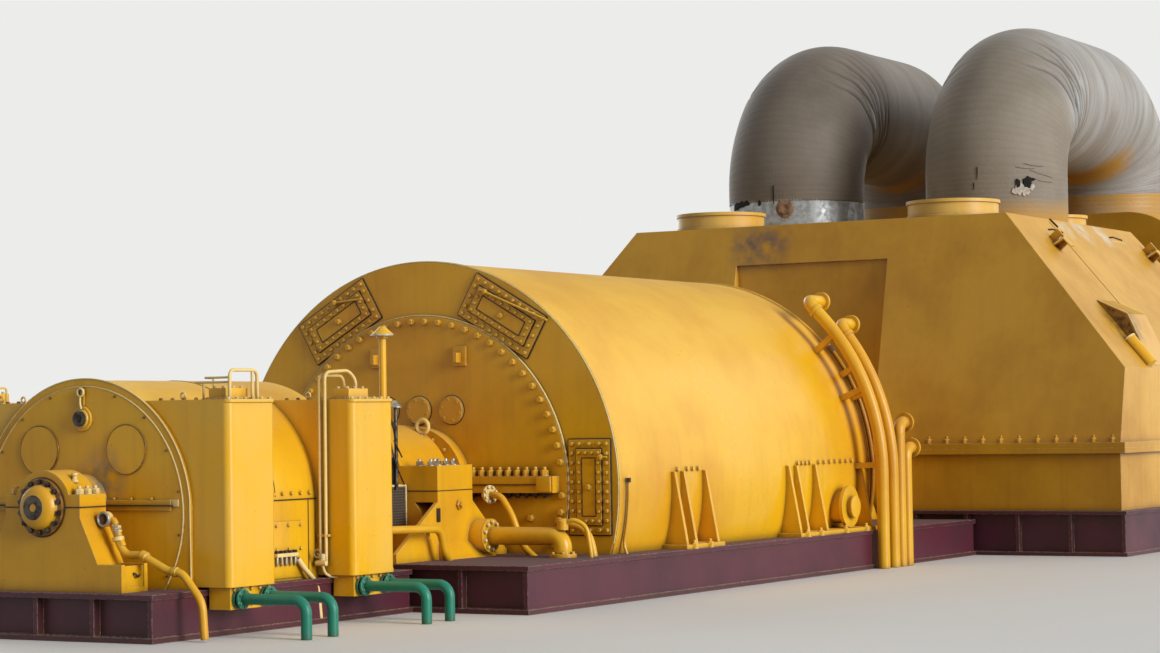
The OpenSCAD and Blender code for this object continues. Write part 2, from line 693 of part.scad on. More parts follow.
module low_pressure_hood() color(paint) on_shaft() {
    difference() {
        union() {
            intersection() {
                along_x(lp_x, lp_len) hood_section();
                along_y(-lp_half_w, 2 * lp_half_w) hood_side();
            }
            translate([lp_x - joint_lip, -lp_half_w - joint_lip, lp_joint])
                cube([lp_len + 2 * joint_lip, 2 * (lp_half_w + joint_lip), joint_t]);
        }
        both_ends() recess();
    }
    both_sides() translate([cross_leg_x, cross_y, lp_top - over])
        cylinder(h = nozzle_h + over, r = cross_r - nozzle_step);
}

module low_pressure_lower_casing() color(paint) on_shaft() difference() {
    union() {
        translate([lp_x, -lp_half_w, -lp_bed_drop])
            cube([lp_len, 2 * lp_half_w, lp_bed_drop + lp_joint]);
        translate([lp_x - joint_lip, -lp_half_w - joint_lip, lp_joint - joint_t])
            cube([lp_len + 2 * joint_lip, 2 * (lp_half_w + joint_lip), joint_t]);
    }
    both_ends() recess();
}

// Distance behind the hood foot and radius of the covers before and behind the pipes
relief_at = [[1250, relief_r], [lp_len - 1220, relief_rear_r]];
module relief_covers() color(paint) on_shaft() both_sides() for (cover = relief_at)
    translate([lp_x + cover[0], relief_y, lp_top]) {
        cylinder(h = relief_h, r = cover[1] - 20);
        cylinder(h = 30, r = cover[1]);
        translate([0, 0, relief_h - 40]) cylinder(h = 40, r = cover[1]);
    }

// Point on the sloping side of the hood, at the share s of the way down from the flat top
function roof(s) = [lp_top_half_w + s * (lp_half_w - lp_top_half_w), lp_top - s * (lp_top - lp_shoulder)];

hood_lug_x = [lp_x + 1530, lp_rear - 810];
hood_wedge_x = [lp_x + 1250, lp_rear - 1900];
hood_wedge_len = 650;
hood_wedge_nose = [370, -170];
// Lifting lugs square on the slope, and wedge brackets over the shoulder
module hood_lifting_lugs() color(paint) on_shaft() both_sides() {
    for (x = hood_lug_x) translate([x, roof(0.18)[0], roof(0.18)[1]])
        rotate([-roof_angle, 0, 0]) translate([-rib_t / 2, -110, 0]) difference() {
            cube([rib_t, 220, 140]);
            translate([-over, 120, 85]) rotate([0, 90, 0]) cylinder(h = rib_t + 2 * over, r = 32);
        }
    for (x = hood_wedge_x) along_x(x, hood_wedge_len)
        polygon([roof(0.56), roof(0.56) + hood_wedge_nose, roof(0.98)]);
}

// One crossover pipe on the +Y side: leg, bend, run, bend
module crossover() color(lagging) on_shaft() translate([cross_leg_x, cross_y, cross_spring])
    hoop(2 * cross_bend + cross_run, cross_bend, cross_r, [cross_leg, 0], $fn = fine);

module crossover_pipe_left() crossover();
module crossover_pipe_right() mirror([0, 1, 0]) crossover();

module middle_bearing_pedestal() color(paint) on_shaft()
    along_x(lp_rear - recess_back, hp_gap + recess_back) arch(hp_neck_r, lp_bed_drop);

// Outline of the casing across the shaft: upright sides and rounded shoulders
module hp_section(z) {
    x = hp_half_w - hp_round;
    translate([-hp_half_w, z]) square([2 * hp_half_w, hp_top - hp_round - z]);
    translate([-x, z]) square([2 * x, hp_top - z]);
    for (s = [-1, 1]) translate([s * x, hp_top - hp_round]) circle(hp_round, $fn = fine);
}

nozzle_sunk = 0.1 * hp_round;
module high_pressure_upper_casing() color(paint) on_shaft() {
    along_x(hp_x, hp_len) hp_section(lp_joint);
    along_x(hp_x + 60, hp_len - 60) translate([-hp_half_w - joint_lip, lp_joint])
        square([2 * (hp_half_w + joint_lip), joint_t]);
    both_sides() translate([cross_rear_x, cross_y, hp_top - nozzle_sunk])
        cylinder(h = hp_nozzle_h + nozzle_sunk, r = cross_r - nozzle_step);
}

module high_pressure_lower_casing() color(paint) on_shaft() {
    translate([hp_x, -hp_half_w, -lp_bed_drop])
        cube([hp_len, 2 * hp_half_w, lp_bed_drop + lp_joint]);
    along_x(hp_x + 60, hp_len - 60) translate([-hp_half_w - joint_lip, lp_joint - joint_t])
        square([2 * (hp_half_w + joint_lip), joint_t]);
}

module end_bearing_pedestal() color(paint) on_shaft()
    along_x(hp_rear, end_ped_len) pedestal_outline(end_ear, end_foot, lp_bed_drop);

module end_bearing_cap() color(paint) on_shaft() {
    along_x(hp_rear, end_ped_len) arch(end_cap_r, 0);
    along_x(hp_rear, end_ped_len) ears(end_cap_r - ear_in, end_ear, 120);
}

exciter_bedplate();
generator_bedplate();
turbine_bedplate();
front_bearing_pedestal();
front_bearing_cap();
front_bearing_cover();
exciter_lower_casing();
exciter_upper_casing();
exciter_front_cover();
cooler_front_left();
cooler_front_right();
cooler_rear_left();
cooler_rear_right();
cooling_water_pipes();
exciter_coupling_guard();
vent_post();
generator_bearing_pedestal();
generator_bearing_cap();
bearing_drain_pipe();
generator_casing();
generator_front_ring();
generator_front_shield();
generator_rear_ring();
generator_rear_shield();
generator_front_hatches();
generator_rear_hatches();
generator_feet_left();
generator_feet_right();
ring_pipe_front();
ring_pipe_rear();
riser_pipes();
main_coupling_guard();
main_bearing_pedestal();
main_bearing_cap();
low_pressure_lower_casing();
low_pressure_hood();
relief_covers();
hood_lifting_lugs();
crossover_pipe_left();
crossover_pipe_right();
middle_bearing_pedestal();
high_pressure_lower_casing();
high_pressure_upper_casing();
end_bearing_pedestal();
end_bearing_cap();
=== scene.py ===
"""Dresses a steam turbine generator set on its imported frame: enamel, bolting, small pipes and lagging.

Places on the set are given in metres from the generator's front face on the shaft line:
x along the shaft towards the second casing, y across the shaft, z up.
"""

import json
import math

import bmesh
import bpy
from mathutils import Matrix, Vector, noise


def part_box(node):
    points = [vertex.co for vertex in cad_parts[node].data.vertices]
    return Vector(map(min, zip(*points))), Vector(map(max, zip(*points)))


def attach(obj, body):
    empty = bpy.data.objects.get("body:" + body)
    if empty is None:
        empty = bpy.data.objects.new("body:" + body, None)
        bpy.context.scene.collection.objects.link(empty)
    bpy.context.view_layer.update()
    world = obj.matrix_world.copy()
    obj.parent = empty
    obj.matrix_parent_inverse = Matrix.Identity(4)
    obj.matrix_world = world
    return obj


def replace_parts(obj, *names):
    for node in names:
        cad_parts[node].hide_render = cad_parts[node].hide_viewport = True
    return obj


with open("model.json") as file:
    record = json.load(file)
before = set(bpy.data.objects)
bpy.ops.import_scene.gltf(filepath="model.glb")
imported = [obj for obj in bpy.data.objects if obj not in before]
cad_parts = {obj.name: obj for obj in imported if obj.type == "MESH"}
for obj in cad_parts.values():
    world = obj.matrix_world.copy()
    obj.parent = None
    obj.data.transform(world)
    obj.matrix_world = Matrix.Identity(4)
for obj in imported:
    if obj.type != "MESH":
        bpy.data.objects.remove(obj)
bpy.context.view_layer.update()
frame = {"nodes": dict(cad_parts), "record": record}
GENERATOR_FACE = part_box("generator_front_ring")[0].x
GENERATOR_LENGTH = 5.45
SHAFT_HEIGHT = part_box("exciter_upper_casing")[0].z

TO_FRONT = Vector((-1, 0, 0))
TO_REAR = Vector((1, 0, 0))
NEAR = Vector((0, -1, 0))
UP = Vector((0, 0, 1))
DOWN = Vector((0, 0, -1))
SIDES = (-1, 1)

bl_info = {
    "name": "Turbine Generator Dressing",
    "version": (1, 0, 0),
    "blender": (4, 5, 0),
    "location": "View3D > Sidebar > Turbine Set",
    "description": "Paint, bolting, small pipes and lagging for a turbine generator set",
    "category": "Object",
}


def linear(code):
    """A colour written as sRGB hex, as the linear red, green and blue that a shader takes."""
    parts = [int(code[i : i + 2], 16) / 255 for i in (0, 2, 4)]
    return tuple(p / 12.92 if p <= 0.04045 else ((p + 0.055) / 1.055) ** 2.4 for p in parts)


def colour(name, description, code):
    return bpy.props.FloatVectorProperty(name=name, description=description, subtype="COLOR", size=3, min=0, max=1,
        default=linear(code))


def length(name, description, metres):
    return bpy.props.FloatProperty(name=name, description=description, unit="LENGTH", min=0, default=metres)


class SetColours(bpy.types.PropertyGroup):
    """Colours of the paints and coverings."""

    machine: colour("Machine enamel", "Golden yellow enamel of the castings and covers", "F2BA1C")
    casing: colour("Casing enamel", "Older enamel of the turbine casings", "DCA628")
    machine_faded: colour("Faded enamel", "The same enamel where it has browned with heat and age", "DFA01F")
    bedplate: colour("Bedplate enamel", "Maroon enamel of the bedplates", "562030")
    water: colour("Water pipe enamel", "Green enamel of the cooling water pipes", "15876B")
    # this cream is rubbed and chalked enamel, and also a painted highlight on edges and on pale rim beads
    cream: colour("Rubbed enamel", "Cream where enamel is rubbed or chalked", "F7DC93")
    lagging: colour("Lagging cloth", "Painted glass cloth over the crossover pipes", "958B7C")
    # this colour is the grime in runs and specks, and the painted shade in corners
    grime_and_shade: colour("Grime", "Oily dust in corners and runs", "4A3014")
    floor: colour("Floor", "Studio floor", "F6F6F4")


class FittingSizes(bpy.types.PropertyGroup):
    """Sizes of the bolting and the small pipes."""

    shield_bolt: length("End shield bolt", "Across flats of the bolts round the generator end", 0.055)
    joint_nut: length("Joint nut", "Across flats of the nuts on the horizontal joints", 0.075)
    hatch_bolt: length("Hatch bolt", "Across flats of the bolts in the generator hatches", 0.034)
    cover_bolt: length("Cover bolt", "Across flats of the bolts in small covers", 0.026)
    flange_nut: length("Casing flange nut", "Across flats of the nuts on the casing flanges", 0.07)
    oil_pipe: length("Oil pipe", "Outer radius of the bearing oil pipes", 0.031)
    thin_pipe: length("Thin pipe", "Outer radius of the vent pipes on the coolers", 0.014)
    lagging_depth: length("Lagging unevenness", "How deep the lagging sags between its bands", 0.012)
    lagging_bend: length("Crossover bend", "Bend radius on the centre line of the crossover pipes", 1.16)


class StageLook(bpy.types.PropertyGroup):
    """Camera and lamps."""

    place: bpy.props.FloatVectorProperty(name="Camera place", description="Where the camera stands", unit="LENGTH",
        default=(-28.116, -13.933, 1.601))
    heading: bpy.props.FloatProperty(name="Heading", description="Turn from the shaft line", unit="ROTATION",
        default=math.radians(30.363))
    rise: bpy.props.FloatProperty(name="Rise", description="Tilt upward", unit="ROTATION",
        default=math.radians(1.986))
    roll: bpy.props.FloatProperty(name="Roll", description="Turn about the line of sight", unit="ROTATION",
        default=math.radians(-0.904))
    lens: bpy.props.FloatProperty(name="Lens", description="Focal length in millimetres", default=83.55, min=10)
    key: bpy.props.FloatProperty(name="Key lamp", description="Strength of the key lamp", default=2.15, min=0)
    low: bpy.props.FloatProperty(name="Low lamps", description="Strength of the low light", default=0.9, min=0)
    back: bpy.props.FloatProperty(name="Back lamp", description="Strength of the lamp on the far side", default=1.0,
        min=0)
    fill: bpy.props.FloatProperty(name="Fill", description="Strength of the light from all round", default=0.21,
        min=0)


def colours():
    return bpy.context.scene.turbine_set_colours


def sizes():
    return bpy.context.scene.turbine_set_sizes


def at(x, y, z):
    """A place on the set, measured from the generator's front face on the shaft line."""
    return Vector((GENERATOR_FACE + x, y, SHAFT_HEIGHT + z))


def round_shaft(x, radius, degrees):
    """A place on a circle about the shaft, with 0 degrees on the far side and 90 on top."""
    a = math.radians(degrees)
    return at(x, radius * math.cos(a), radius * math.sin(a))


# ---------------------------------------------------------------- finishes


def link(tree, node, links):
    """Feeds sockets of a node from single outputs, or from the result of other nodes."""
    for socket, source in links.items():
        if isinstance(source, bpy.types.Node):
            source = source.outputs[2 if source.type == "MIX" else 0]
        tree.links.new(source, node.inputs[socket])


def add(tree, kind, links=None, values=None, **settings):
    """Adds a node with its settings, what feeds it and the values of its other sockets."""
    node = tree.nodes.new("ShaderNode" + kind)
    for name, value in settings.items():
        setattr(node, name, value)
    for socket, value in (values or {}).items():
        node.inputs[socket].default_value = value
    link(tree, node, links or {})
    return node


def blank(name):
    """An empty material with its shader, and its node tree."""
    material = bpy.data.materials.new(name)
    material.use_nodes = True
    tree = material.node_tree
    return material, tree, tree.nodes["Principled BSDF"]


def rgba(code):
    """A colour for a shader, by its name in the panel or written as sRGB hex."""
    return (*(getattr(colours(), code, None) or linear(code)), 1.0)


def brushed_enamel(name, fresh, faded, rubbed, chalk, gloss, smudges=()):
    """Alkyd enamel brushed over cast and rolled steel: it browns in patches, runs carry dirt down
    from the joints, its edges wear through to a paler coat that also stands as a painted highlight,
    corners are darkened with painted shade and dust settles on level tops. A smudge is a place on
    the set, its reach and its colour there."""
    material, tree, shader = blank(name)
    grime_and_shade = rgba("grime_and_shade")
    place = add(tree, "TexCoord").outputs["Object"]
    shape = add(tree, "NewGeometry")

    # patches of the last repaint, about 1.5 m across
    patch = add(tree, "TexNoise", {"Vector": place}, {"Scale": 0.7, "Detail": 5.0, "Roughness": 0.62})
    patchy = add(tree, "MapRange", {"Value": patch}, {"From Min": 0.42, "From Max": 0.68})
    body = add(tree, "Mix", {0: patchy}, {6: rgba(fresh), 7: rgba(faded)}, data_type="RGBA")
    # runs down upright faces, 90 mm wide and over a metre long
    squash = add(tree, "Mapping", {"Vector": place}, {"Scale": (1.0, 1.0, 0.06)})
    run = add(tree, "TexNoise", {"Vector": squash}, {"Scale": 11.0, "Detail": 4.0})
    runs = add(tree, "MapRange", {"Value": run}, {"From Min": 0.5, "From Max": 0.8, "To Max": 0.12})
    # nothing runs on level tops or under the round of the shell
    facing = add(tree, "SeparateXYZ", {0: shape.outputs["Normal"]})
    lean_up = add(tree, "Math", {0: facing.outputs["Z"]}, operation="ABSOLUTE")
    upright = add(tree, "MapRange", {"Value": lean_up}, {"From Min": 0.1, "From Max": 0.5, "To Min": 1.0,
        "To Max": 0.0})
    running = add(tree, "Math", {0: runs, 1: upright}, operation="MULTIPLY")
    streaked = add(tree, "Mix", {0: running, 6: body}, {7: grime_and_shade}, data_type="RGBA")
    # specks of dirt and chips, really 5 mm and drawn at 20 mm to show at this distance
    speck = add(tree, "TexNoise", {"Vector": place}, {"Scale": 26.0, "Detail": 2.0, "Roughness": 0.7})
    specks = add(tree, "MapRange", {"Value": speck}, {"From Min": 0.7, "From Max": 0.78, "To Max": 0.4})
    specked = add(tree, "Mix", {0: specks, 6: streaked}, {7: grime_and_shade}, data_type="RGBA")
    # cloudy edge of a smudge, in wisps about 150 mm across
    wisp = add(tree, "TexNoise", {"Vector": place}, {"Scale": 6.0, "Detail": 3.0})
    worn_through = add(tree, "MapRange", {"Value": wisp}, {"From Min": 0.3, "From Max": 0.6})
    # painted shade in corners, within 100 mm of the fold, in the colour of the oily dirt that also lies there
    corner = add(tree, "AmbientOcclusion", None, {"Distance": 0.1}, samples=4)
    corners = add(tree, "MapRange", {"Value": corner.outputs["AO"]}, {"From Min": 0.3, "From Max": 0.85,
        "To Min": 0.75, "To Max": 0.0})
    shaded_in_hollows = add(tree, "Mix", {0: corners, 6: specked}, {7: grime_and_shade}, data_type="RGBA")
    # chalky dust on tops that face up
    level = add(tree, "MapRange", {"Value": facing.outputs["Z"]}, {"From Min": 0.6, "From Max": 1.0,
        "To Max": 0.25})
    dusty = add(tree, "Mix", {0: level, 6: shaded_in_hollows}, {7: rgba(chalk)}, data_type="RGBA")
    # smudges of another colour on the enamel in a few places; the dark one below the near wedge bracket is painted
    # shade with soot
    for centre, reach, code in smudges:
        away = add(tree, "VectorMath", {0: place}, {1: at(*centre)}, operation="DISTANCE")
        fading = add(tree, "MapRange", {"Value": away.outputs["Value"]},
            {"From Min": 0.15 * reach, "From Max": reach, "To Min": 0.85, "To Max": 0.0})
        broken = add(tree, "Math", {0: fading, 1: worn_through}, operation="MULTIPLY")
        dusty = add(tree, "Mix", {0: broken, 6: dusty}, {7: rgba(code)}, data_type="RGBA")
    # edges rubbed through over 9 mm, broken up by the specks; the pale edges are also a painted highlight
    eased = add(tree, "Bevel", None, {"Radius": 0.009}, samples=4)
    lean = add(tree, "VectorMath", {0: eased, 1: shape.outputs["Normal"]}, operation="DOT_PRODUCT")
    edge = add(tree, "MapRange", {"Value": lean.outputs["Value"]}, {"From Min": 0.86, "From Max": 0.99,
        "To Min": 0.85, "To Max": 0.0})
    worn = add(tree, "MapRange", {"Value": speck}, {"From Min": 0.38, "From Max": 0.6})
    rub = add(tree, "Math", {0: edge, 1: worn}, operation="MULTIPLY")
    finished = add(tree, "Mix", {0: rub, 6: dusty}, {7: rgba(rubbed)}, data_type="RGBA")
    link(tree, shader, {"Base Color": finished})

    rough = add(tree, "MapRange", {"Value": patch}, {"From Min": 0.3, "From Max": 0.7, "To Min": gloss,
        "To Max": gloss + 0.16})
    # the dust takes the shine off the tops
    dulled = add(tree, "Math", {0: level, 2: rough}, {1: 1.8}, operation="MULTIPLY_ADD", use_clamp=True)
    link(tree, shader, {"Roughness": dulled})
    # brush marks are 1 mm apart; drawn as 35 mm ripples, which is what still shows from here
    ripple = add(tree, "TexNoise", {"Vector": place}, {"Scale": 22.0, "Detail": 3.0, "Roughness": 0.6})
    bump = add(tree, "Bump", {"Height": ripple, "Normal": eased}, {"Strength": 0.25, "Distance": 0.004})
    link(tree, shader, {"Normal": bump})
    shader.inputs["IOR"].default_value = 1.5
    return material


def wound_cloth(name, fresh, old):
    """Glass cloth wound over mineral wool and painted: fine rings where the turns lap, slack folds
    inside the bends darkened with painted shade, aluminium paint worn pale where the brushes
    reached it with a painted sheen and painted glints where the light falls, and yellow overspray
    at the feet of the pipes."""
    material, tree, shader = blank(name)
    wound = add(tree, "UVMap").outputs[0]
    place = add(tree, "TexCoord").outputs["Object"]
    blotch = add(tree, "TexNoise", {"Vector": place}, {"Scale": 0.9, "Detail": 5.0, "Roughness": 0.6})
    blotches = add(tree, "MapRange", {"Value": blotch}, {"From Min": 0.35, "From Max": 0.65})
    body = add(tree, "Mix", {0: blotches}, {6: rgba(fresh), 7: rgba(old)}, data_type="RGBA")
    # aluminium paint and painted sheen: pale where a vertex says so, broken into streaks that follow the turns
    along = add(tree, "Mapping", {"Vector": wound}, {"Scale": (0.5, 3.2, 1.0)})
    streak = add(tree, "TexNoise", {"Vector": along}, {"Scale": 1.4, "Detail": 6.0, "Roughness": 0.65})
    streaks = add(tree, "MapRange", {"Value": streak}, {"From Min": 0.3, "From Max": 0.75, "To Min": 0.05,
        "To Max": 1.2})
    aluminium_and_sheen = add(tree, "Attribute", attribute_name="aluminium_and_sheen")
    shine = add(tree, "Math", {0: aluminium_and_sheen.outputs["Fac"], 1: streaks}, operation="MULTIPLY", use_clamp=True)
    aluminium_and_sheen_colour = add(tree, "Mix", {0: shine, 6: body}, {7: rgba("B6B8BA")}, data_type="RGBA")
    # laps of the cloth, 60 mm apart, as faint darker rings
    turns = add(tree, "TexWave", {"Vector": wound}, {"Scale": 5.2, "Distortion": 1.6, "Detail": 2.0,
        "Detail Scale": 0.6}, bands_direction="Y")
    rings = add(tree, "MapRange", {"Value": turns.outputs["Fac"]}, {"From Min": 0.0, "From Max": 0.4,
        "To Min": 0.07, "To Max": 0.0})
    ringed = add(tree, "Mix", {0: rings, 6: aluminium_and_sheen_colour}, {7: rgba("3F372F")}, data_type="RGBA")
    # painted shade that lies in the folds
    fold = add(tree, "Attribute", attribute_name="fold")
    folds = add(tree, "MapRange", {"Value": fold.outputs["Fac"]}, {"From Min": 0.12, "From Max": 0.9,
        "To Max": 0.85})
    shaded_in_hollows = add(tree, "Mix", {0: folds, 6: ringed}, {7: rgba("3A3430")}, data_type="RGBA")
    sprayed = add(tree, "Attribute", attribute_name="overspray")
    fuzz = add(tree, "Math", {0: sprayed.outputs["Fac"], 1: blotch}, operation="MULTIPLY")
    spray = add(tree, "MapRange", {"Value": fuzz}, {"From Min": 0.15, "From Max": 0.55, "To Max": 0.9})
    finished = add(tree, "Mix", {0: spray, 6: shaded_in_hollows}, {7: rgba("C08E2A")}, data_type="RGBA")
    link(tree, shader, {"Base Color": finished})
    rough = add(tree, "MapRange", {"Value": shine}, {"From Max": 1.0, "To Min": 0.66, "To Max": 0.3})
    link(tree, shader, {"Roughness": rough})
    # the weave is 1 mm; drawn as 30 mm unevenness that still shows from the floor
    weave = add(tree, "TexNoise", {"Vector": place}, {"Scale": 34.0, "Detail": 3.0})
    laps = add(tree, "Math", {0: turns.outputs["Fac"]}, {1: 0.3}, operation="MULTIPLY")
    height = add(tree, "Math", {0: weave, 1: laps}, operation="ADD")
    bump = add(tree, "Bump", {"Height": height}, {"Strength": 0.5, "Distance": 0.007})
    link(tree, shader, {"Normal": bump})
    shader.inputs["IOR"].default_value = 1.5
    return material


def worn_steel(name, clean, stain, roughness, metal):
    """Rolled or forged steel left bare: oil and dust stain it in spots and dull its shine."""
    material, tree, shader = blank(name)
    place = add(tree, "TexCoord").outputs["Object"]
    spot = add(tree, "TexNoise", {"Vector": place}, {"Scale": 14.0, "Detail": 4.0, "Roughness": 0.65})
    spots = add(tree, "MapRange", {"Value": spot}, {"From Min": 0.42, "From Max": 0.62})
    tone = add(tree, "Mix", {0: spots}, {6: rgba(clean), 7: rgba(stain)}, data_type="RGBA")
    link(tree, shader, {"Base Color": tone})
    rough = add(tree, "MapRange", {"Value": spot}, {"From Min": 0.3, "From Max": 0.7, "To Min": roughness,
        "To Max": roughness + 0.22})
    link(tree, shader, {"Roughness": rough})
    bump = add(tree, "Bump", {"Height": spot}, {"Strength": 0.3, "Distance": 0.003})
    link(tree, shader, {"Normal": bump})
    shader.inputs["Metallic"].default_value = metal
    return material


def wire_mesh():
    """Woven black wire over a cooling opening; the 4 mm mesh is drawn at 24 mm so that it shows."""
    material, tree, shader = blank("black wire mesh")
    place = add(tree, "TexCoord").outputs["Object"]
    wires = add(tree, "TexBrick", {"Vector": place}, {"Scale": 1.0, "Color1": rgba("17130F"),
        "Color2": rgba("1E1914"), "Mortar": rgba("5D554B"), "Mortar Size": 0.004, "Brick Width": 0.024,
        "Row Height": 0.024}, offset=0.0)
    turned = add(tree, "Mapping", {"Vector": place}, {"Rotation": (math.radians(90), 0, 0)})
    link(tree, wires, {"Vector": turned})
    tree.links.new(wires.outputs["Color"], shader.inputs["Base Color"])
    bump = add(tree, "Bump", {"Height": wires.outputs["Fac"]}, {"Strength": 0.6, "Distance": 0.004})
    link(tree, shader, {"Normal": bump})
    shader.inputs["Roughness"].default_value = 0.5
    return material


# smudges on the turbine casings: purple-grey ones high on the end wall, a dark one below the near wedge bracket
# that is painted shade with soot, and pale heat marks along the top of the near slope
CASING_SMUDGES = (
    ((8.48, 0.85, 2.68), 0.36, "655250"),
    ((8.48, 0.55, 2.69), 0.36, "655250"),
    ((9.1, -3.62, 1.58), 0.42, "33241A"),
    ((10.3, -2.51, 2.86), 0.26, "DDD2BA"),
    ((10.9, -2.5, 2.87), 0.34, "DDD2BA"),
    ((11.6, -2.54, 2.82), 0.3, "DDD2BA"),
)
FINISHES = {
    # castings and covers: enamel brushed on thick, browned in patches, with a soft gloss
    "machine": (brushed_enamel, "golden alkyd enamel", "machine", "machine_faded", "cream", "DDC07A", 0.24),
    # cooler boxes: a newer and brighter coat, paler cream in patches, partly bleaching and partly a painted sheen
    "sunned": (brushed_enamel, "sunned alkyd enamel", "FABC06", "EFBF4E", "cream", "E8CF92", 0.22),
    # end cover of the exciter: the castings' coat, with grey dust behind the front bearing
    "dusted": (
        brushed_enamel, "dusted alkyd enamel", "machine", "machine_faded", "cream", "DDC07A", 0.26,
        (((-4.74, -0.2, 0.2), 0.3, "7C766C"),),
    ),
    # turbine casings: an older repaint, duller, with purple-grey smudges high on the end wall, painted shade with
    # soot below the near wedge bracket and pale heat marks along the top of the slope
    "smoked": (brushed_enamel, "smoked alkyd enamel", "casing", "C08A1E", "cream", "D3B468", 0.3, CASING_SMUDGES),
    # bedplates: maroon enamel over welded plate, walked on and dusty, hardly any shine
    "bedplate": (brushed_enamel, "maroon alkyd enamel", "bedplate", "3E1A28", "C9B79A", "8E8480", 0.42),
    # cooling water pipes: green enamel over drawn tube, moderately glossy
    "water": (brushed_enamel, "green alkyd enamel", "water", "0E6E5C", "7FC4AE", "5E8F80", 0.32),
    # small fittings and edges: the golden coat gone to chalk, pale and dull; on the pale rings of the end shields
    # and their round covers, on the front ring's rim and on the hood brackets' edges it is a painted highlight
    "cream": (brushed_enamel, "chalked cream enamel", "cream", "EBC670", "FFF3CF", "D9C79A", 0.4),
    # relief covers: the castings' enamel bleached by the heat under it
    "bleached": (brushed_enamel, "bleached alkyd enamel", "E6BE62", "machine_faded", "cream", "E3CB92", 0.4),
    # cloth of the near crossover pipe, painted with aluminium
    "lagging": (wound_cloth, "painted glass cloth", "lagging", "7F7567"),
    # the same cloth on the far pipe, browned by smoke and never painted again, and darker still as painted shade
    # where the near pipe shades it; also the painted shade in the creases above the tear
    "smoked and shaded lagging": (wound_cloth, "smoked glass cloth", "7A7064", "655B50"),
    # golden enamel under years of weeping oil: brown, glossy and dark in the bolt circle; also the dark face in the
    # wedge brackets' mouths, which is painted shade
    "oiled enamel and shade": (worn_steel, "oil soaked enamel", "9A6A1E", "4E3113", 0.3, 0.0),
    # blacked forged steel, wiped with oil: dark with a low shine
    "black steel": (worn_steel, "oiled black steel", "5A534C", "2C2621", 0.36, 0.8),
    # turned steel with a zinc coat: bright under spots of old grease
    "bright steel": (worn_steel, "zinc plated steel", "C4BFB2", "8A7F6C", 0.32, 1.0),
    # rolled aluminium sheet, grey from weather
    "aluminium": (worn_steel, "weathered aluminium sheet", "A6A9AB", "8B8C8C", 0.36, 0.8),
    # steel that has lost its coat near a hot pipe: rust, quite dull
    "rust": (worn_steel, "rusted steel", "94785C", "6A503C", 0.7, 0.1),
    # burnt wool and painted shade inside the holes and slits of the lagging, and painted shade in the collar's
    # gaps, the hood's slots and crack and the open mouth of the drain stub
    "shade_and_char": (worn_steel, "charred wool", "1B1714", "0E0C0A", 0.95, 0.0),
    # mineral wool that swells out of torn cloth: pale tufts with no shine
    "wool": (worn_steel, "mineral wool", "CBC4B6", "A0978A", 0.9, 0.0),
    # sealing compound pressed out of the joints: dark and dull, with a little dirt
    "sealant": (worn_steel, "brown joint sealant", "3B2616", "24170D", 0.62, 0.0),
    "mesh": (wire_mesh,),
}
MADE = {}


def finish(name):
    """The material of that name, made the first time it is asked for."""
    if name not in MADE:
        maker, *details = FINISHES[name]
        MADE[name] = maker(*details)
    return MADE[name]


# ---------------------------------------------------------------- shapes


def across(axis):
    """Two directions square to an axis and to each other."""
    side = axis.cross(UP) if abs(axis.z) < 0.9 else axis.cross(NEAR)
    side.normalize()
    return side, axis.cross(side).normalized()


def eased_route(points, bend, steps=6):
    """A route whose corners are rounded to a bend radius."""
    route = [Vector(points[0])]
    for before, corner, after in zip(points, points[1:], points[2:]):
        before, corner, after = Vector(before), Vector(corner), Vector(after)
        back, on = (before - corner), (after - corner)
        reach = min(bend, 0.49 * back.length, 0.49 * on.length)
        start, end = corner + back.normalized() * reach, corner + on.normalized() * reach
        for i in range(steps + 1):
            t = i / steps
            route.append(start * (1 - t) ** 2 + corner * 2 * t * (1 - t) + end * t * t)
    route.append(Vector(points[-1]))
    return route


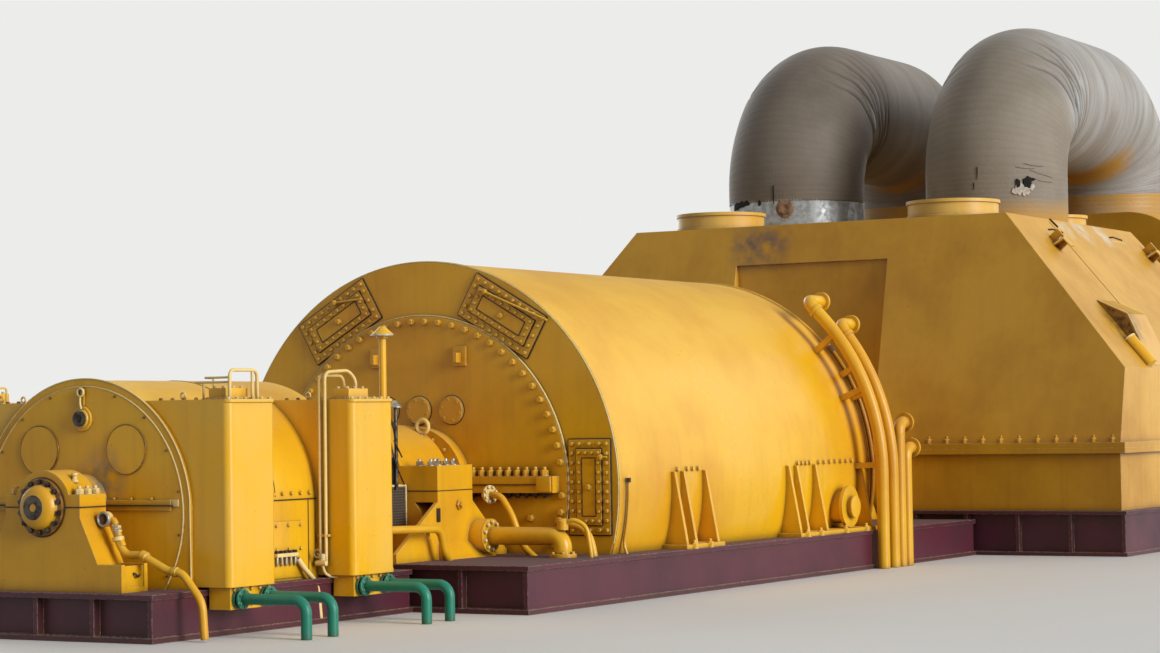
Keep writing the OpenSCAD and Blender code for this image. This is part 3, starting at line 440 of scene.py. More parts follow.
class Piece:
    """One piece of dressing: shapes are added to it, each in a finish, and shown() makes its object."""

    def __init__(self, name, slot="yellow_paint"):
        self.name = name
        self.slot = slot
        self.mesh = bmesh.new()
        self.finishes = []

    def _index(self, name):
        if name not in self.finishes:
            self.finishes.append(name)
        return self.finishes.index(name)

    def skin(self, loops, name, closed=False):
        """Joins a run of loops of points with faces, and caps the ends."""
        index = self._index(name)
        rows = [[self.mesh.verts.new(p) for p in loop] for loop in loops]
        faces = []
        for a, b in zip(rows, rows[1:] + rows[:1] if closed else rows[1:]):
            for i in range(len(a)):
                j = (i + 1) % len(a)
                faces.append(self.mesh.faces.new((a[i], a[j], b[j], b[i])))
        if not closed:
            faces.append(self.mesh.faces.new(rows[0][::-1]))
            faces.append(self.mesh.faces.new(rows[-1]))
        for face in faces:
            face.material_index = index

    def turned(self, place, axis, profile, name, sides=24, start=0.0):
        """A turned shape: the profile gives distance along the axis and radius."""
        u, v = across(axis)
        loops = []
        for reach, radius in profile:
            centre = place + axis * reach
            loops.append([centre + (u * math.cos(a) + v * math.sin(a)) * radius
                for a in (start + math.tau * i / sides for i in range(sides))])
        self.skin(loops, name)

    def bolt(self, place, axis, flats, name, start=0.0):
        """A hexagon bolt head on its washer."""
        r = flats / 2
        self.turned(place, axis, [(0, 1.3 * r), (0.22 * r, 1.3 * r)], name, 12)
        self.turned(place, axis, [(0.2 * r, 1.12 * r), (1.2 * r, 1.12 * r), (1.38 * r, 0.9 * r)], name, 6, start)

    def stud(self, place, axis, flats, name, tall=1.0):
        """A nut on a stud whose rounded end stands out of it."""
        r = flats / 2
        self.turned(place, axis, [(0, 1.3 * r), (0.2 * r, 1.3 * r)], name, 12)
        self.turned(place, axis, [(0.18 * r, 1.12 * r), (1.6 * r * tall, 1.12 * r), (1.8 * r * tall, 0.92 * r)],
            name, 6)
        self.turned(place, axis, [(1.7 * r * tall, 0.55 * r), (2.5 * r * tall, 0.55 * r),
            (2.7 * r * tall, 0.38 * r)], name, 10)

    def pipe(self, points, radius, name, bend=0.1, sides=12, closed=False):
        """A round pipe or rod along a route."""
        route = [Vector(p) for p in points] if closed else eased_route(points, bend)
        count = len(route)
        loops, side = [], None
        for i, point in enumerate(route):
            if closed:
                along = (route[(i + 1) % count] - route[i - 1]).normalized()
            else:
                along = (route[min(i + 1, count - 1)] - route[max(i - 1, 0)]).normalized()
            if side is None:
                side = across(along)[0]
            side = (side - along * side.dot(along)).normalized()
            up = along.cross(side)
            loops.append([point + (side * math.cos(a) + up * math.sin(a)) * radius for a in (math.tau * k / sides
                for k in range(sides))])
        self.skin(loops, name, closed)

    def hoop(self, place, axis, radius, thick, name, sides=32, ring_sides=8):
        """A round bar bent to a ring."""
        u, v = across(axis)
        points = [place + (u * math.cos(a) + v * math.sin(a)) * radius for a in (math.tau * i / sides
            for i in range(sides))]
        self.pipe(points, thick, name, sides=ring_sides, closed=True)

    def block(self, low, high, name, ease=0.004):
        """A block between two opposite corners with its edges eased."""
        low, high = [Vector(map(pick, low, high)) for pick in (min, max)]
        lump = bmesh.new()
        bmesh.ops.create_cube(lump, size=1.0)
        for vert in lump.verts:
            vert.co = Vector(a + (b - a) * (c + 0.5) for a, b, c in zip(low, high, vert.co))
        bmesh.ops.bevel(lump, geom=lump.edges[:], offset=ease, segments=2, profile=0.7, affect="EDGES")
        index = self._index(name)
        for face in lump.faces:
            face.material_index = index
        holder = bpy.data.meshes.new("holder")
        lump.to_mesh(holder)
        lump.free()
        self.mesh.from_mesh(holder)
        bpy.data.meshes.remove(holder)

    def flange(self, place, axis, radius, thick, bolts, name, flats):
        """A pipe flange with its ring of bolts."""
        self.turned(place, axis, [(0, radius - 0.003), (0.003, radius), (thick - 0.003, radius),
            (thick, radius - 0.003)], name)
        u, v = across(axis)
        for x, y in circle(bolts, 0.8 * radius):
            self.bolt(place + axis * thick + u * x + v * y, axis, flats, name)

    def eye(self, place, axis, facing, radius, thick, name):
        """A lifting eye: a collar, a shank and a ring that faces one way."""
        self.turned(place, axis, [(0, 1.5 * thick), (0.8 * thick, 1.5 * thick), (thick, thick),
            (2 * thick, 0.9 * thick)], name, 16)
        self.hoop(place + axis * (1.6 * thick + radius), facing, radius, thick, name, 28, 10)

    def shown(self, smooth=35):
        bmesh.ops.recalc_face_normals(self.mesh, faces=self.mesh.faces[:])
        mesh = bpy.data.meshes.new(self.name)
        self.mesh.to_mesh(mesh)
        self.mesh.free()
        for name in self.finishes:
            mesh.materials.append(finish(name))
        mesh.polygons.foreach_set("use_smooth", [True] * len(mesh.polygons))
        mesh.set_sharp_from_angle(angle=math.radians(smooth))
        shape = put(self.name, mesh)
        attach(shape, "root")
        return shape


def circle(count, radius, start=0.5):
    """Evenly spaced places on a circle, as pairs; start is the first one's share of a step."""
    angles = [math.tau * (i + start) / count for i in range(count)]
    return [(radius * math.cos(a), radius * math.sin(a)) for a in angles]


def put(name, data):
    """A new object of the scene."""
    thing = bpy.data.objects.new(name, data)
    bpy.context.scene.collection.objects.link(thing)
    return thing


def spread(start, end, count):
    """Evenly spaced numbers from start to end."""
    return [start + (end - start) * i / (count - 1) for i in range(count)]


# ---------------------------------------------------------------- operators


class CoatCastings(bpy.types.Operator):
    """Gives each casing, cover, bedplate and pipe of the frame its enamel"""

    bl_idname = "turbine_set.coat_castings"
    bl_label = "Coat Castings"

    def execute(self, context):
        coats = {"maroon_paint": "bedplate", "green_paint": "water", "lagging_sheet": "lagging"}
        slots = {part["node"]: part["material_slot"] for part in frame["record"]["subparts"]}
        for name, casting in frame["nodes"].items():
            coat = coats.get(slots[name], "machine")
            if name == "exciter_front_cover":
                coat = "dusted"
            elif name.startswith("cooler"):
                coat = "sunned"
            elif name == "relief_covers":
                coat = "bleached"
            elif name.startswith(("low_pressure", "high_pressure", "hood")):
                coat = "smoked"
            coat = finish(coat)
            for holder in casting.material_slots:
                holder.material = coat
            if not casting.material_slots:
                raise RuntimeError(f"{name} has no material slot to coat")
        return {"FINISHED"}


class FitFrontBearing(bpy.types.Operator):
    """Makes the round end cover, studs, oil gauge and oil pipe of the front bearing"""

    bl_idname = "turbine_set.front_bearing"
    bl_label = "Front Bearing"

    def execute(self, context):
        s = sizes()
        low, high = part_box("front_bearing_cover")
        radius = (high.y - low.y) / 2
        depth = high.x - low.x
        seat = Vector((high.x, 0, SHAFT_HEIGHT))
        cover = Piece("front_bearing_end_cover")
        cover.turned(seat, TO_FRONT, [(0.029, 0.8 * radius), (0.05, 0.77 * radius), (0.075, 0.72 * radius),
            (0.095, 0.62 * radius), (depth - 0.006, 0.5 * radius), (depth - 0.003, 0.46 * radius)], "machine", 48)
        cover.turned(seat, TO_FRONT, [(0, radius), (0.022, radius), (0.028, radius - 0.006), (0.03, 0.8 * radius),
            (0.03, 0.76 * radius)], "oiled enamel and shade", 48)
        cover.turned(seat, TO_FRONT, [(depth - 0.02, 0.43 * radius), (depth - 0.001, 0.43 * radius),
            (depth, 0.41 * radius), (depth, 0.14 * radius), (depth - 0.012, 0.12 * radius)], "black steel", 40)
        for y, z in circle(14, 0.875 * radius):
            cover.bolt(seat + Vector((-0.028, y, z)), TO_FRONT, 0.036, "black steel")
        cover.hoop(seat + TO_FRONT * 0.004, TO_FRONT, radius + 0.004, 0.006, "sealant", 48, 6)
        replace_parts(cover.shown(), "front_bearing_cover")

        work = Piece("front_bearing_fittings")
        for side in SIDES:
            for x in (-5.14, -5.05, -4.96):
                work.stud(at(x, side * 0.315, 0.095), UP, 0.062, "cream" if side < 0 else "machine", 0.8)
                work.stud(at(x, side * 0.315, -0.095), DOWN, 0.062, "machine", 0.7)
            work.block(at(-5.205, side * 0.295 - 0.085, -0.004), at(-4.895, side * 0.295 + 0.085, 0.004), "sealant",
                0.002)
            # plate that closes the foot's side, with its lifting hook
            work.block(at(-5.165, side * 0.752, -0.602), at(-4.935, side * 0.764, -0.44), "machine", 0.003)
            hook = [(-5.06, 0.764, -0.5), (-5.06, 0.785, -0.5), (-5.035, 0.79, -0.53), (-5.01, 0.785, -0.51)]
            work.pipe([at(x, side * y, z) for x, y, z in hook], 0.008, "black steel", 0.02, 8)
            work.turned(at(-5.05, side * 0.66, -0.605), UP, [(0, 0.05), (0.016, 0.05)], "black steel", 16)
            work.stud(at(-5.05, side * 0.66, -0.59), UP, 0.05, "black steel", 1.0)
        # oil filler on the cap's shoulder
        work.turned(at(-5.06, -0.2, 0.185), UP, [(0, 0.03), (0.02, 0.03), (0.025, 0.02), (0.05, 0.02),
            (0.052, 0.026), (0.068, 0.026), (0.072, 0.022)], "cream", 18)
        # round oil gauge on its elbow, shut-off cock and star handle
        work.pipe([at(-5.0, -0.32, -0.1), at(-5.0, -0.47, -0.1)], 0.022, "machine", 0.02)
        work.turned(at(-5.035, -0.46, -0.095), TO_REAR, [(0, 0.052), (0.004, 0.058), (0.05, 0.058), (0.054, 0.052)],
            "cream", 28)
        work.hoop(at(-5.038, -0.46, -0.095), TO_FRONT, 0.051, 0.01, "aluminium", 28, 8)
        work.turned(at(-5.036, -0.46, -0.095), TO_FRONT, [(0, 0.043), (0.002, 0.042)], "black steel", 28)
        work.pipe([at(-5.0, -0.47, -0.1), at(-5.0, -0.54, -0.1), at(-5.0, -0.56, -0.18), at(-5.0, -0.62, -0.3)],
            0.026, "machine", 0.05)
        work.turned(at(-5.0, -0.553, -0.15), Vector((0, -0.3, -1)).normalized(), [(0, 0.036), (0.05, 0.036)],
            "cream", 6)
        work.pipe([at(-5.0, -0.55, -0.17), at(-5.06, -0.6, -0.165)], 0.009, "bright steel", 0.01, 8)
        hub = at(-5.06, -0.6, -0.165)
        for y, z in circle(5, 0.045, 0):
            work.pipe([hub, hub + Vector((0.01, -y, z))], 0.008, "bright steel", 0.01, 6)
        # oil drain down to the bedplate
        drops = ((0.56, 0.16), (0.575, 0.27), (0.65, 0.37), (0.79, 0.36), (0.94, 0.43), (1.06, 0.485), (1.18, 0.49),
            (1.28, 0.6), (1.37, 0.71), (1.39, 0.985))
        route = [at(-5.0, -out, -down) for out, down in drops]
        work.pipe(route, s.oil_pipe, "machine", 0.07, 16)
        work.turned(at(-5.0, -0.57, -0.23), Vector((0, -0.2, -1)).normalized(), [(0, 0.046), (0.03, 0.046)],
            "cream", 20)
        work.turned(at(-5.0, -0.8, -0.364), Vector((0, -1, -0.4)).normalized(), [(0, 0.04), (0.05, 0.04)],
            "machine", 20)
        work.turned(at(-5.0, -1.1, -0.488), Vector((0, -1, 0)).normalized(), [(0, 0.038), (0.04, 0.038)], "machine",
            20)
        work.shown()
        return {"FINISHED"}


class FitExciter(bpy.types.Operator):
    """Makes the bolts, the sight glass, the rim beads and the side plates of the exciter"""

    bl_idname = "turbine_set.exciter"
    bl_label = "Exciter"

    def execute(self, context):
        s = sizes()
        face = -4.73
        # the round's centre lies below the shaft
        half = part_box("exciter_lower_casing")[1].y
        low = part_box("exciter_upper_casing")[1].z - SHAFT_HEIGHT - half

        def on_round(x, radius, degrees):
            """A place on a circle about the centre of the exciter's round."""
            a = math.radians(degrees)
            return at(x, radius * math.cos(a), low + radius * math.sin(a))

        work = Piece("exciter_face_fittings")
        for degrees in range(-30, 220, 20):
            work.bolt(on_round(face, 0.955, degrees), TO_FRONT, 0.65 * s.cover_bolt, "oiled enamel and shade")
        work.pipe([on_round(face + 0.002, 0.981, d) for d in range(-33, 214, 3)], 0.006, "cream", 0.01, 6)
        rim = half + 0.012
        rim_arc = [at(face + 0.012, rim, -0.62)] + [on_round(face + 0.012, rim, d) for d in range(6, 175,
            3)] + [at(face + 0.012, -rim, -0.62)]
        work.pipe(rim_arc, 0.006, "cream", 0.01, 6)
        for side in SIDES:
            for y in (0.32, 0.49, 0.69):
                work.bolt(at(face - 0.01, side * y, 0.05), TO_FRONT, 0.8 * s.cover_bolt, "machine")
            work.block(at(face - 0.012, side * 0.9 - 0.045, -0.01), at(face, side * 0.9 + 0.045, 0.045), "cream",
                0.004)
            work.block(at(face - 0.045, side * 0.56 - 0.34, -0.006), at(face, side * 0.56 + 0.34, 0.004), "sealant",
                0.001)
            work.hoop(at(face - 0.009, side * 0.438, 0.428), TO_FRONT, 0.19, 0.005, "oiled enamel and shade", 44, 6)
        # lifting eye over the sight glass
        work.turned(at(face, 0, 0.67), TO_FRONT, [(0, 0.1), (0.014, 0.1), (0.02, 0.094), (0.02, 0.075),
            (0.034, 0.07)], "machine", 32)
        work.turned(at(face - 0.02, 0, 0.67), TO_FRONT, [(0, 0.062), (0.03, 0.06), (0.036, 0.045), (0.034, 0.03)],
            "black steel", 28)
        work.bolt(at(face - 0.03, 0, 0.67), TO_FRONT, 0.05, "black steel")
        work.block(at(face - 0.014, -0.028, 0.77), at(face, 0.028, 0.9), "machine", 0.006)
        work.hoop(at(face - 0.024, 0, 0.875), TO_FRONT, 0.03, 0.011, "cream", 24, 8)
        work.pipe([at(face - 0.026, 0, 0.85), at(face - 0.03, 0, 0.79), at(face - 0.03, -0.012, 0.745)], 0.009,
            "cream", 0.03, 8)
        work.shown()

        plates = Piece("exciter_side_fittings")
        for side in SIDES:
            y = side * half
            out = NEAR * -side
            for x in (-3.98, -3.2):
                plates.pipe([at(x, y, 0.0), at(x, y, -0.62)], 0.005, "sealant", 0.01, 6)
            plates.block(at(-3.68, y, -0.62), at(-3.3, y + side * 0.014, -0.17), "machine", 0.005)
            for x in (-3.65, -3.49, -3.33):
                for z in (-0.2, -0.39):
                    plates.bolt(at(x, y + side * 0.014, z), out, s.cover_bolt, "machine")
            # terminal block with its row of dark screws
            plates.block(at(-3.68, y, -0.45), at(-3.4, y + side * 0.05, -0.42), "cream", 0.004)
            for x in spread(-3.66, -3.42, 5):
                plates.bolt(at(x, y + side * 0.03, -0.418), UP, 0.03, "black steel")
                plates.turned(at(x, y + side * 0.03, -0.45), DOWN, [(0, 0.014), (0.05, 0.012), (0.07, 0.008)],
                    "bright steel", 10)
            plates.pipe([at(-3.4, y + side * 0.04, -0.47), at(-3.33, y + side * 0.06, -0.56),
                at(-3.2, y + side * 0.08, -0.68), at(-3.17, y + side * 0.09, -0.98)], 0.022, "cream", 0.1, 10)
            # row of bolts along the horizontal joint
            for x in spread(-4.02, -3.18, 8):
                plates.bolt(at(x, y - side * 0.002, 0.05), out, s.cover_bolt, "machine")
            plates.block(at(-4.1, y, -0.005), at(-3.09, y + side * 0.006, 0.005), "sealant", 0.001)
        # seam where the casing's two rings meet on top
        plates.pipe([on_round(-3.63, half + 0.001, d) for d in range(5, 176, 5)], 0.004, "sealant", 0.01, 6)
        plates.shown()
        return {"FINISHED"}


class FitCoolers(bpy.types.Operator):
    """Makes the lid bolts, lifting eyes, handles and vent pipes of the four cooler boxes"""

    bl_idname = "turbine_set.coolers"
    bl_label = "Coolers"

    def execute(self, context):
        s = sizes()
        for name in ("cooler_front_left", "cooler_front_right", "cooler_rear_left", "cooler_rear_right"):
            low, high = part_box(name)
            side = 1 if high.y > 0 else -1
            outer = max(abs(low.y), abs(high.y))
            front = low.x - GENERATOR_FACE
            work = Piece(name + "_fittings")
            top, inner, length_x = 0.8, 0.72, 0.58
            for x in spread(front + 0.035, front + length_x - 0.035, 6):
                work.bolt(at(x, side * (outer - 0.045), top), UP, s.cover_bolt, "cream")
            for y in spread(inner, outer - 0.12, 6):
                for x in (front + 0.03, front + length_x - 0.03):
                    work.bolt(at(x, side * y, top), UP, s.cover_bolt,
                        "oiled enamel and shade" if x < front + 0.1 else "machine")
            # lifting eyes
            for x, y in ((front + 0.05, 0.92), (front + length_x - 0.05, 1.12)):
                work.eye(at(x, side * y, top), UP, TO_FRONT, 0.022, 0.008, "cream")
            # raised strip of the lid beside the vent block
            work.block(at(front + 0.06, side * 1.12, top), at(front + length_x - 0.05, side * 1.32, top + 0.012),
                "cream", 0.003)
            if "front" in name:
                # bent vent pipe over the block, with a second one behind it
                work.pipe([at(front + 0.08, side * 1.345, 0.79), at(front + 0.08, side * 1.345, 1.022),
                    at(front + 0.42, side * 1.345, 1.022), at(front + 0.42, side * 1.345,
                    0.79)], 0.014, "cream", 0.06, 12)
                work.pipe([at(front + 0.36, side * 1.345, 0.79), at(front + 0.36, side * 1.345, 1.01)], 0.012,
                    "cream", 0.01, 8)
                for y, z in ((1.0, 0.93), (1.1, 0.965)):
                    work.pipe([at(front + 0.08, side * 1.345, z), at(front + 0.08, side * y, z),
                        at(front + 0.2, side * y, z), at(front + 0.2, side * y, 0.79)], 0.009, "cream", 0.03, 8)
            for x in spread(front + 0.13, front + 0.34, 3):
                for y in (1.165, 1.255):
                    work.bolt(at(x, side * y, 0.885), UP, s.cover_bolt, "cream")
            # header bolts and its drain plug
            for x in spread(front + 0.08, front + 0.5, 5):
                work.bolt(at(x, side * 1.36, -0.64), NEAR * -side, s.cover_bolt, "machine")
            work.turned(at(front + 0.29, side * 1.36, -0.74), NEAR * -side, [(0, 0.026), (0.03, 0.026)], "machine",
                6)
            if name == "cooler_rear_right":
                # two vent pipes up the front of the box and over its lid, with their cock
                work.pipe([at(-3.11, -1.085, -0.52), at(-3.11, -1.09, 0.995), at(-2.8, -1.1, 0.995),
                    at(-2.74, -1.1, 0.79)], s.thin_pipe, "cream", 0.06, 10)
                work.pipe([at(-3.11, -1.14, -0.52), at(-3.11, -1.145, 1.02), at(-2.8, -1.16, 1.035),
                    at(-2.77, -1.21, 0.96), at(-2.77, -1.21, 0.87)], s.thin_pipe, "cream", 0.07, 10)
                work.block(at(-3.118, -1.17, -0.31), at(-3.078, -1.06, -0.29), "machine", 0.003)
                work.turned(at(-3.12, -1.11, -0.52), UP, [(0, 0.03), (0.07, 0.03), (0.075, 0.02)], "cream", 16)
                work.pipe([at(-3.15, -1.07, -0.52), at(-3.15, -1.17, -0.52)], 0.022, "cream", 0.01, 12)
                work.pipe([at(-3.16, -1.12, -0.48), at(-3.2, -1.12, -0.44)], 0.008, "bright steel", 0.01, 8)
                work.hoop(at(-3.2, -1.12, -0.44), TO_FRONT, 0.032, 0.006, "bright steel", 20, 6)
                work.pipe([at(-3.1, -1.09, -0.52), at(-3.1, -1.12, -0.62), at(-3.02, -1.2, -0.64)], s.thin_pipe,
                    "cream", 0.05, 10)
            work.shown()

        # flanges and bolts where the green pipes leave the headers
        flanges = Piece("cooling_water_flanges", "green_paint")
        for side in SIDES:
            for front in (-4.69, -3.08):
                for x in (front + 0.128, front + 0.464):
                    flanges.flange(at(x, side * 1.405, -0.71), NEAR * -side, 0.078, 0.02, 6, "water", 0.022)
        flanges.shown()
        return {"FINISHED"}


class FitGeneratorBearing(bpy.types.Operator):
    """Makes the eye, studs, oil pipes, guard screen and drain bolts of the generator bearing"""

    bl_idname = "turbine_set.generator_bearing"
    bl_label = "Generator Bearing"

    def execute(self, context):
        work = Piece("generator_bearing_fittings")
        work.eye(at(-0.46, -0.3, 0.47), Vector((0, -0.2, 1)).normalized(), TO_FRONT, 0.062, 0.02, "cream")
        for side in SIDES:
            for x in (-1.1, -0.98, -0.86, -0.74):
                work.stud(at(x, side * 0.83, 0.22), UP, 0.055, "bright steel", 0.8)
            for x in (-1.04, -0.8):
                work.stud(at(x, side * 0.67, 0.22), UP, 0.055, "bright steel", 0.8)
            work.block(at(-1.184, side * 0.735 - 0.218, -0.004), at(-0.616, side * 0.735 + 0.218, 0.004), "sealant",
                0.001)
            # slots and bolts in the side plates' feet
            for x in (-1.72, -1.5, -1.28, -0.95, -0.6, -0.25):
                work.bolt(at(x, side * 0.86, -0.56), UP, 0.045, "machine")
            work.block(at(-1.205, side * 0.955 - 0.006, -0.27), at(-1.155, side * 0.955 + 0.006, -0.15), "sealant",
                0.004)
            # joint flange of the cap on its front
            for d in (28, 50, 72):
                a = math.radians(d)
                work.bolt(at(-1.18, side * 0.535 * math.cos(a), 0.535 * math.sin(a)), TO_FRONT, 0.034, "machine")
        # bolts round the drain's flange
        for x, z in circle(10, 0.122):
            work.bolt(at(-0.552 + x, -1.105, -0.416 + z), NEAR, 0.03, "cream")
        for x, y in circle(6, 0.1):
            work.bolt(at(-0.552 + x, -1.84 + y, -0.568), UP, 0.028, "machine")
        # bent oil pipe along the front of the pedestal
        route = [at(-2.3, -1.1, -0.3), at(-2.1, -1.1, -0.3), at(-1.38, -1.1, -0.32), at(-1.3, -1.1, -0.55),
            at(-1.2, -1.1, -0.66), at(-1.0, -1.14, -0.68), at(-0.98, -1.16, -0.86), at(-0.98, -1.16, -0.98)]
        work.pipe(route, 0.035, "machine", 0.09, 14)
        work.turned(at(-2.3, -1.1, -0.3), TO_FRONT, [(-0.03, 0.05), (0, 0.05)], "machine", 20)
        # guard screen beside the coupling, in its cream frame
        work.block(at(-1.5, -0.625, -0.36), at(-1.2, -0.615, 0.05), "mesh", 0.002)
        screen = [at(x, -0.62, z) for x, z in ((-1.5, -0.36), (-1.19, -0.36), (-1.19, 0.05), (-1.5, 0.05))]
        for a, b in zip(screen, screen[1:] + screen[:1]):
            work.pipe([a, b], 0.011, "cream", 0.01, 8)
        # dark thin pipe with its hook over the coupling guard
        work.pipe([at(-1.36, -0.64, 0.02), at(-1.36, -0.64, 0.74)], 0.017, "black steel", 0.08, 10)
        work.pipe([at(-1.6, -0.62, 0.66), at(-1.46, -0.63, 0.66), at(-1.38, -0.64, 0.56), at(-1.36, -0.64, 0.4)],
            0.013, "black steel", 0.1, 10)
        work.block(at(-1.5, -0.62, 0.05), at(-1.3, -0.6, 0.3), "black steel", 0.004)
        work.pipe([at(-1.3, -0.66, 0.3), at(-1.42, -0.66, 0.45)], 0.007, "black steel", 0.01, 8)
        work.pipe([at(-1.24, -0.64, 0.06), at(-1.4, -0.66, 0.24), at(-1.44, -0.62, 0.5)], 0.007, "black steel", 0.1,
            8)
        # round plug in the ear's side
        work.turned(at(-0.85, -0.95, -0.13), NEAR, [(0, 0.045), (0.02, 0.045), (0.022, 0.03), (0.05, 0.03)],
            "machine", 6)
        work.shown()

        # zinc hats on the vent post and on the thin dark pipe
        hats = Piece("vent_hats")
        low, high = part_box("vent_post")
        middle = (low + high) / 2
        wide = 0.096
        hats.turned(Vector((middle.x, middle.y, high.z - 0.07)), UP, [(-0.012, wide), (-0.006, wide + 0.002),
            (0.0, wide), (0.066, 0.024), (0.0695, 0.012)], "bright steel", 32)
        hats.turned(at(-1.36, -0.64, 0.735), UP, [(0, 0.062), (0.006, 0.062), (0.055, 0.014), (0.06, 0.01)],
            "bright steel", 24)
        hats.shown()

        guard = Piece("coupling_guard_bolts")
        for x in spread(-2.45, -1.26, 7):
            for side in SIDES:
                a = math.radians(20)
                guard.bolt(at(x, side * 0.33 * math.cos(a), 0.33 * math.sin(a)),
                    Vector((0, side * math.cos(a), math.sin(a))), 0.024, "machine")
        guard.shown()
        return {"FINISHED"}


class FitGeneratorEnds(bpy.types.Operator):
    """Makes the bolt circles, joint studs, round covers and lugs of the generator's end shields"""

    bl_idname = "turbine_set.generator_ends"
    bl_label = "Generator Ends"

    def execute(self, context):
        s = sizes()
        for end, name in ((0, "generator_front_bolting"), (1, "generator_rear_bolting")):
            out = TO_REAR if end else TO_FRONT

            def face(x, y, z):
                """A place on this end, with x measured inward from its face."""
                return at(GENERATOR_LENGTH - x if end else x, y, z)

            work = Piece(name)
            for i, (y, z) in enumerate(circle(64, 1.535)):
                if z > -0.56 and abs(z - 0.025) > 0.1:
                    work.bolt(face(-0.03, y, z), out, s.shield_bolt, "machine", 360 * (i + 0.5) / 64)
            # pale ring round the shield's edge: a painted highlight
            seam = [face(-0.016, 1.592 * math.cos(math.radians(d)), 1.592 * math.sin(math.radians(d)))
                for d in range(-20, 201, 4)]
            work.pipe(seam, 0.011, "cream", 0.02, 6)
            for side in SIDES:
                for y in spread(0.62, 1.38, 9):
                    work.stud(face(-0.085, side * y, 0.1), UP, 0.066, "machine", 0.95)
                    work.stud(face(-0.085, side * y, -0.05), DOWN, 0.06, "sealant", 0.6)
                # clamp at the outer end of the joint flange, and the joint itself
                reach = 0.142 if end else 0.158
                work.block(face(-reach, side * 1.33, -0.04), face(-0.02, side * 1.48, 0.096), "machine", 0.006)
                work.block(face(-0.152, side * 0.6, 0.021), face(-0.02, side * 1.33, 0.028), "sealant", 0.001)
            for y in (-0.36, 0.0, 0.36):
                centre = face(-0.045, y, 0.71)
                for a, b in circle(6, 0.1, 0.25):
                    work.bolt(centre + Vector((0, a, b)), out, s.cover_bolt, "machine")
                # pale ring on each cover's rim: a painted highlight, with the dark joint round it
                work.hoop(face(-0.034, y, 0.71), out, 0.127, 0.005, "cream", 36, 6)
                work.hoop(face(-0.03, y, 0.71), out, 0.134, 0.006, "sealant", 36, 6)
            # boss and neck bolts
            for y, z in circle(20, 0.49):
                if z > 0.098:
                    work.bolt(face(-0.15, y, z), out, 0.036, "machine")
            for side in SIDES:
                for y, z in ((0.72, -0.42), (1.02, -0.4), (1.2, -0.28)):
                    work.bolt(face(-0.03, side * y, z), out, s.shield_bolt, "machine")
            work.shown()

        pipes = Piece("generator_front_oil_pipes")
        # seal oil pipe from its flange on the lower shield
        pipes.flange(at(-0.3, -0.92, -0.06), Vector((-0.25, -1, 0.1)).normalized(), 0.085, 0.024, 8, "cream", 0.024)
        pipes.pipe([at(-0.03, -0.82, -0.07), at(-0.24, -0.84, -0.07), at(-0.3, -0.92, -0.06)], 0.045, "machine",
            0.06, 14)
        route = [at(-0.3, -0.94, -0.06), at(-0.32, -1.06, -0.07), at(-0.32, -1.19, -0.26), at(-0.32, -1.26, -0.5),
            at(-0.32, -1.46, -0.66), at(-0.34, -1.66, -0.78), at(-0.34, -1.7, -0.985)]
        pipes.pipe(route, s.oil_pipe, "machine", 0.12, 16)
        # pair of pipes that leave the lower shield and go down beside the drain
        pipes.pipe([at(-0.03, -1.5, -0.3), at(-0.25, -1.6, -0.3), at(-0.3, -1.95, -0.36), at(-0.3, -2.02, -0.62),
            at(-0.3, -2.02, -0.985)], 0.032, "machine", 0.14, 12)
        pipes.pipe([at(-0.552, -1.84, -0.33), at(-0.552, -1.93, -0.26), at(-0.5, -2.05, -0.32),
            at(-0.5, -2.1, -0.6), at(-0.5, -2.1, -0.985)], 0.02, "machine", 0.12, 12)
        pipes.turned(at(-0.552, -1.84, -0.36), UP, [(0, 0.05), (0.08, 0.05), (0.1, 0.03)], "machine", 20)
        # vent pipe up the rim of the shell with its clips
        arc = [round_shaft(0.15, 2.115, 180 - d) for d in range(-14, 4, 3)]
        pipes.pipe([at(0.15, -2.13, -0.985), at(0.15, -2.12, -0.7)] + arc, s.thin_pipe, "machine", 0.06, 10)
        pipes.turned(arc[-1], UP, [(0, 0.022), (0.04, 0.022)], "black steel", 8)
        pipes.shown()
        return {"FINISHED"}


# turn of a hatch about the shaft, and the two ends of its stay bar
STAY_BARS = {
    30: ((0.254, 0.112), (-0.462, 0.2)),
    90: ((0.267, 0.131), (0.266, 0.2)),
    -30: ((-0.054, 0.177), (-0.337, 0.044)),
}


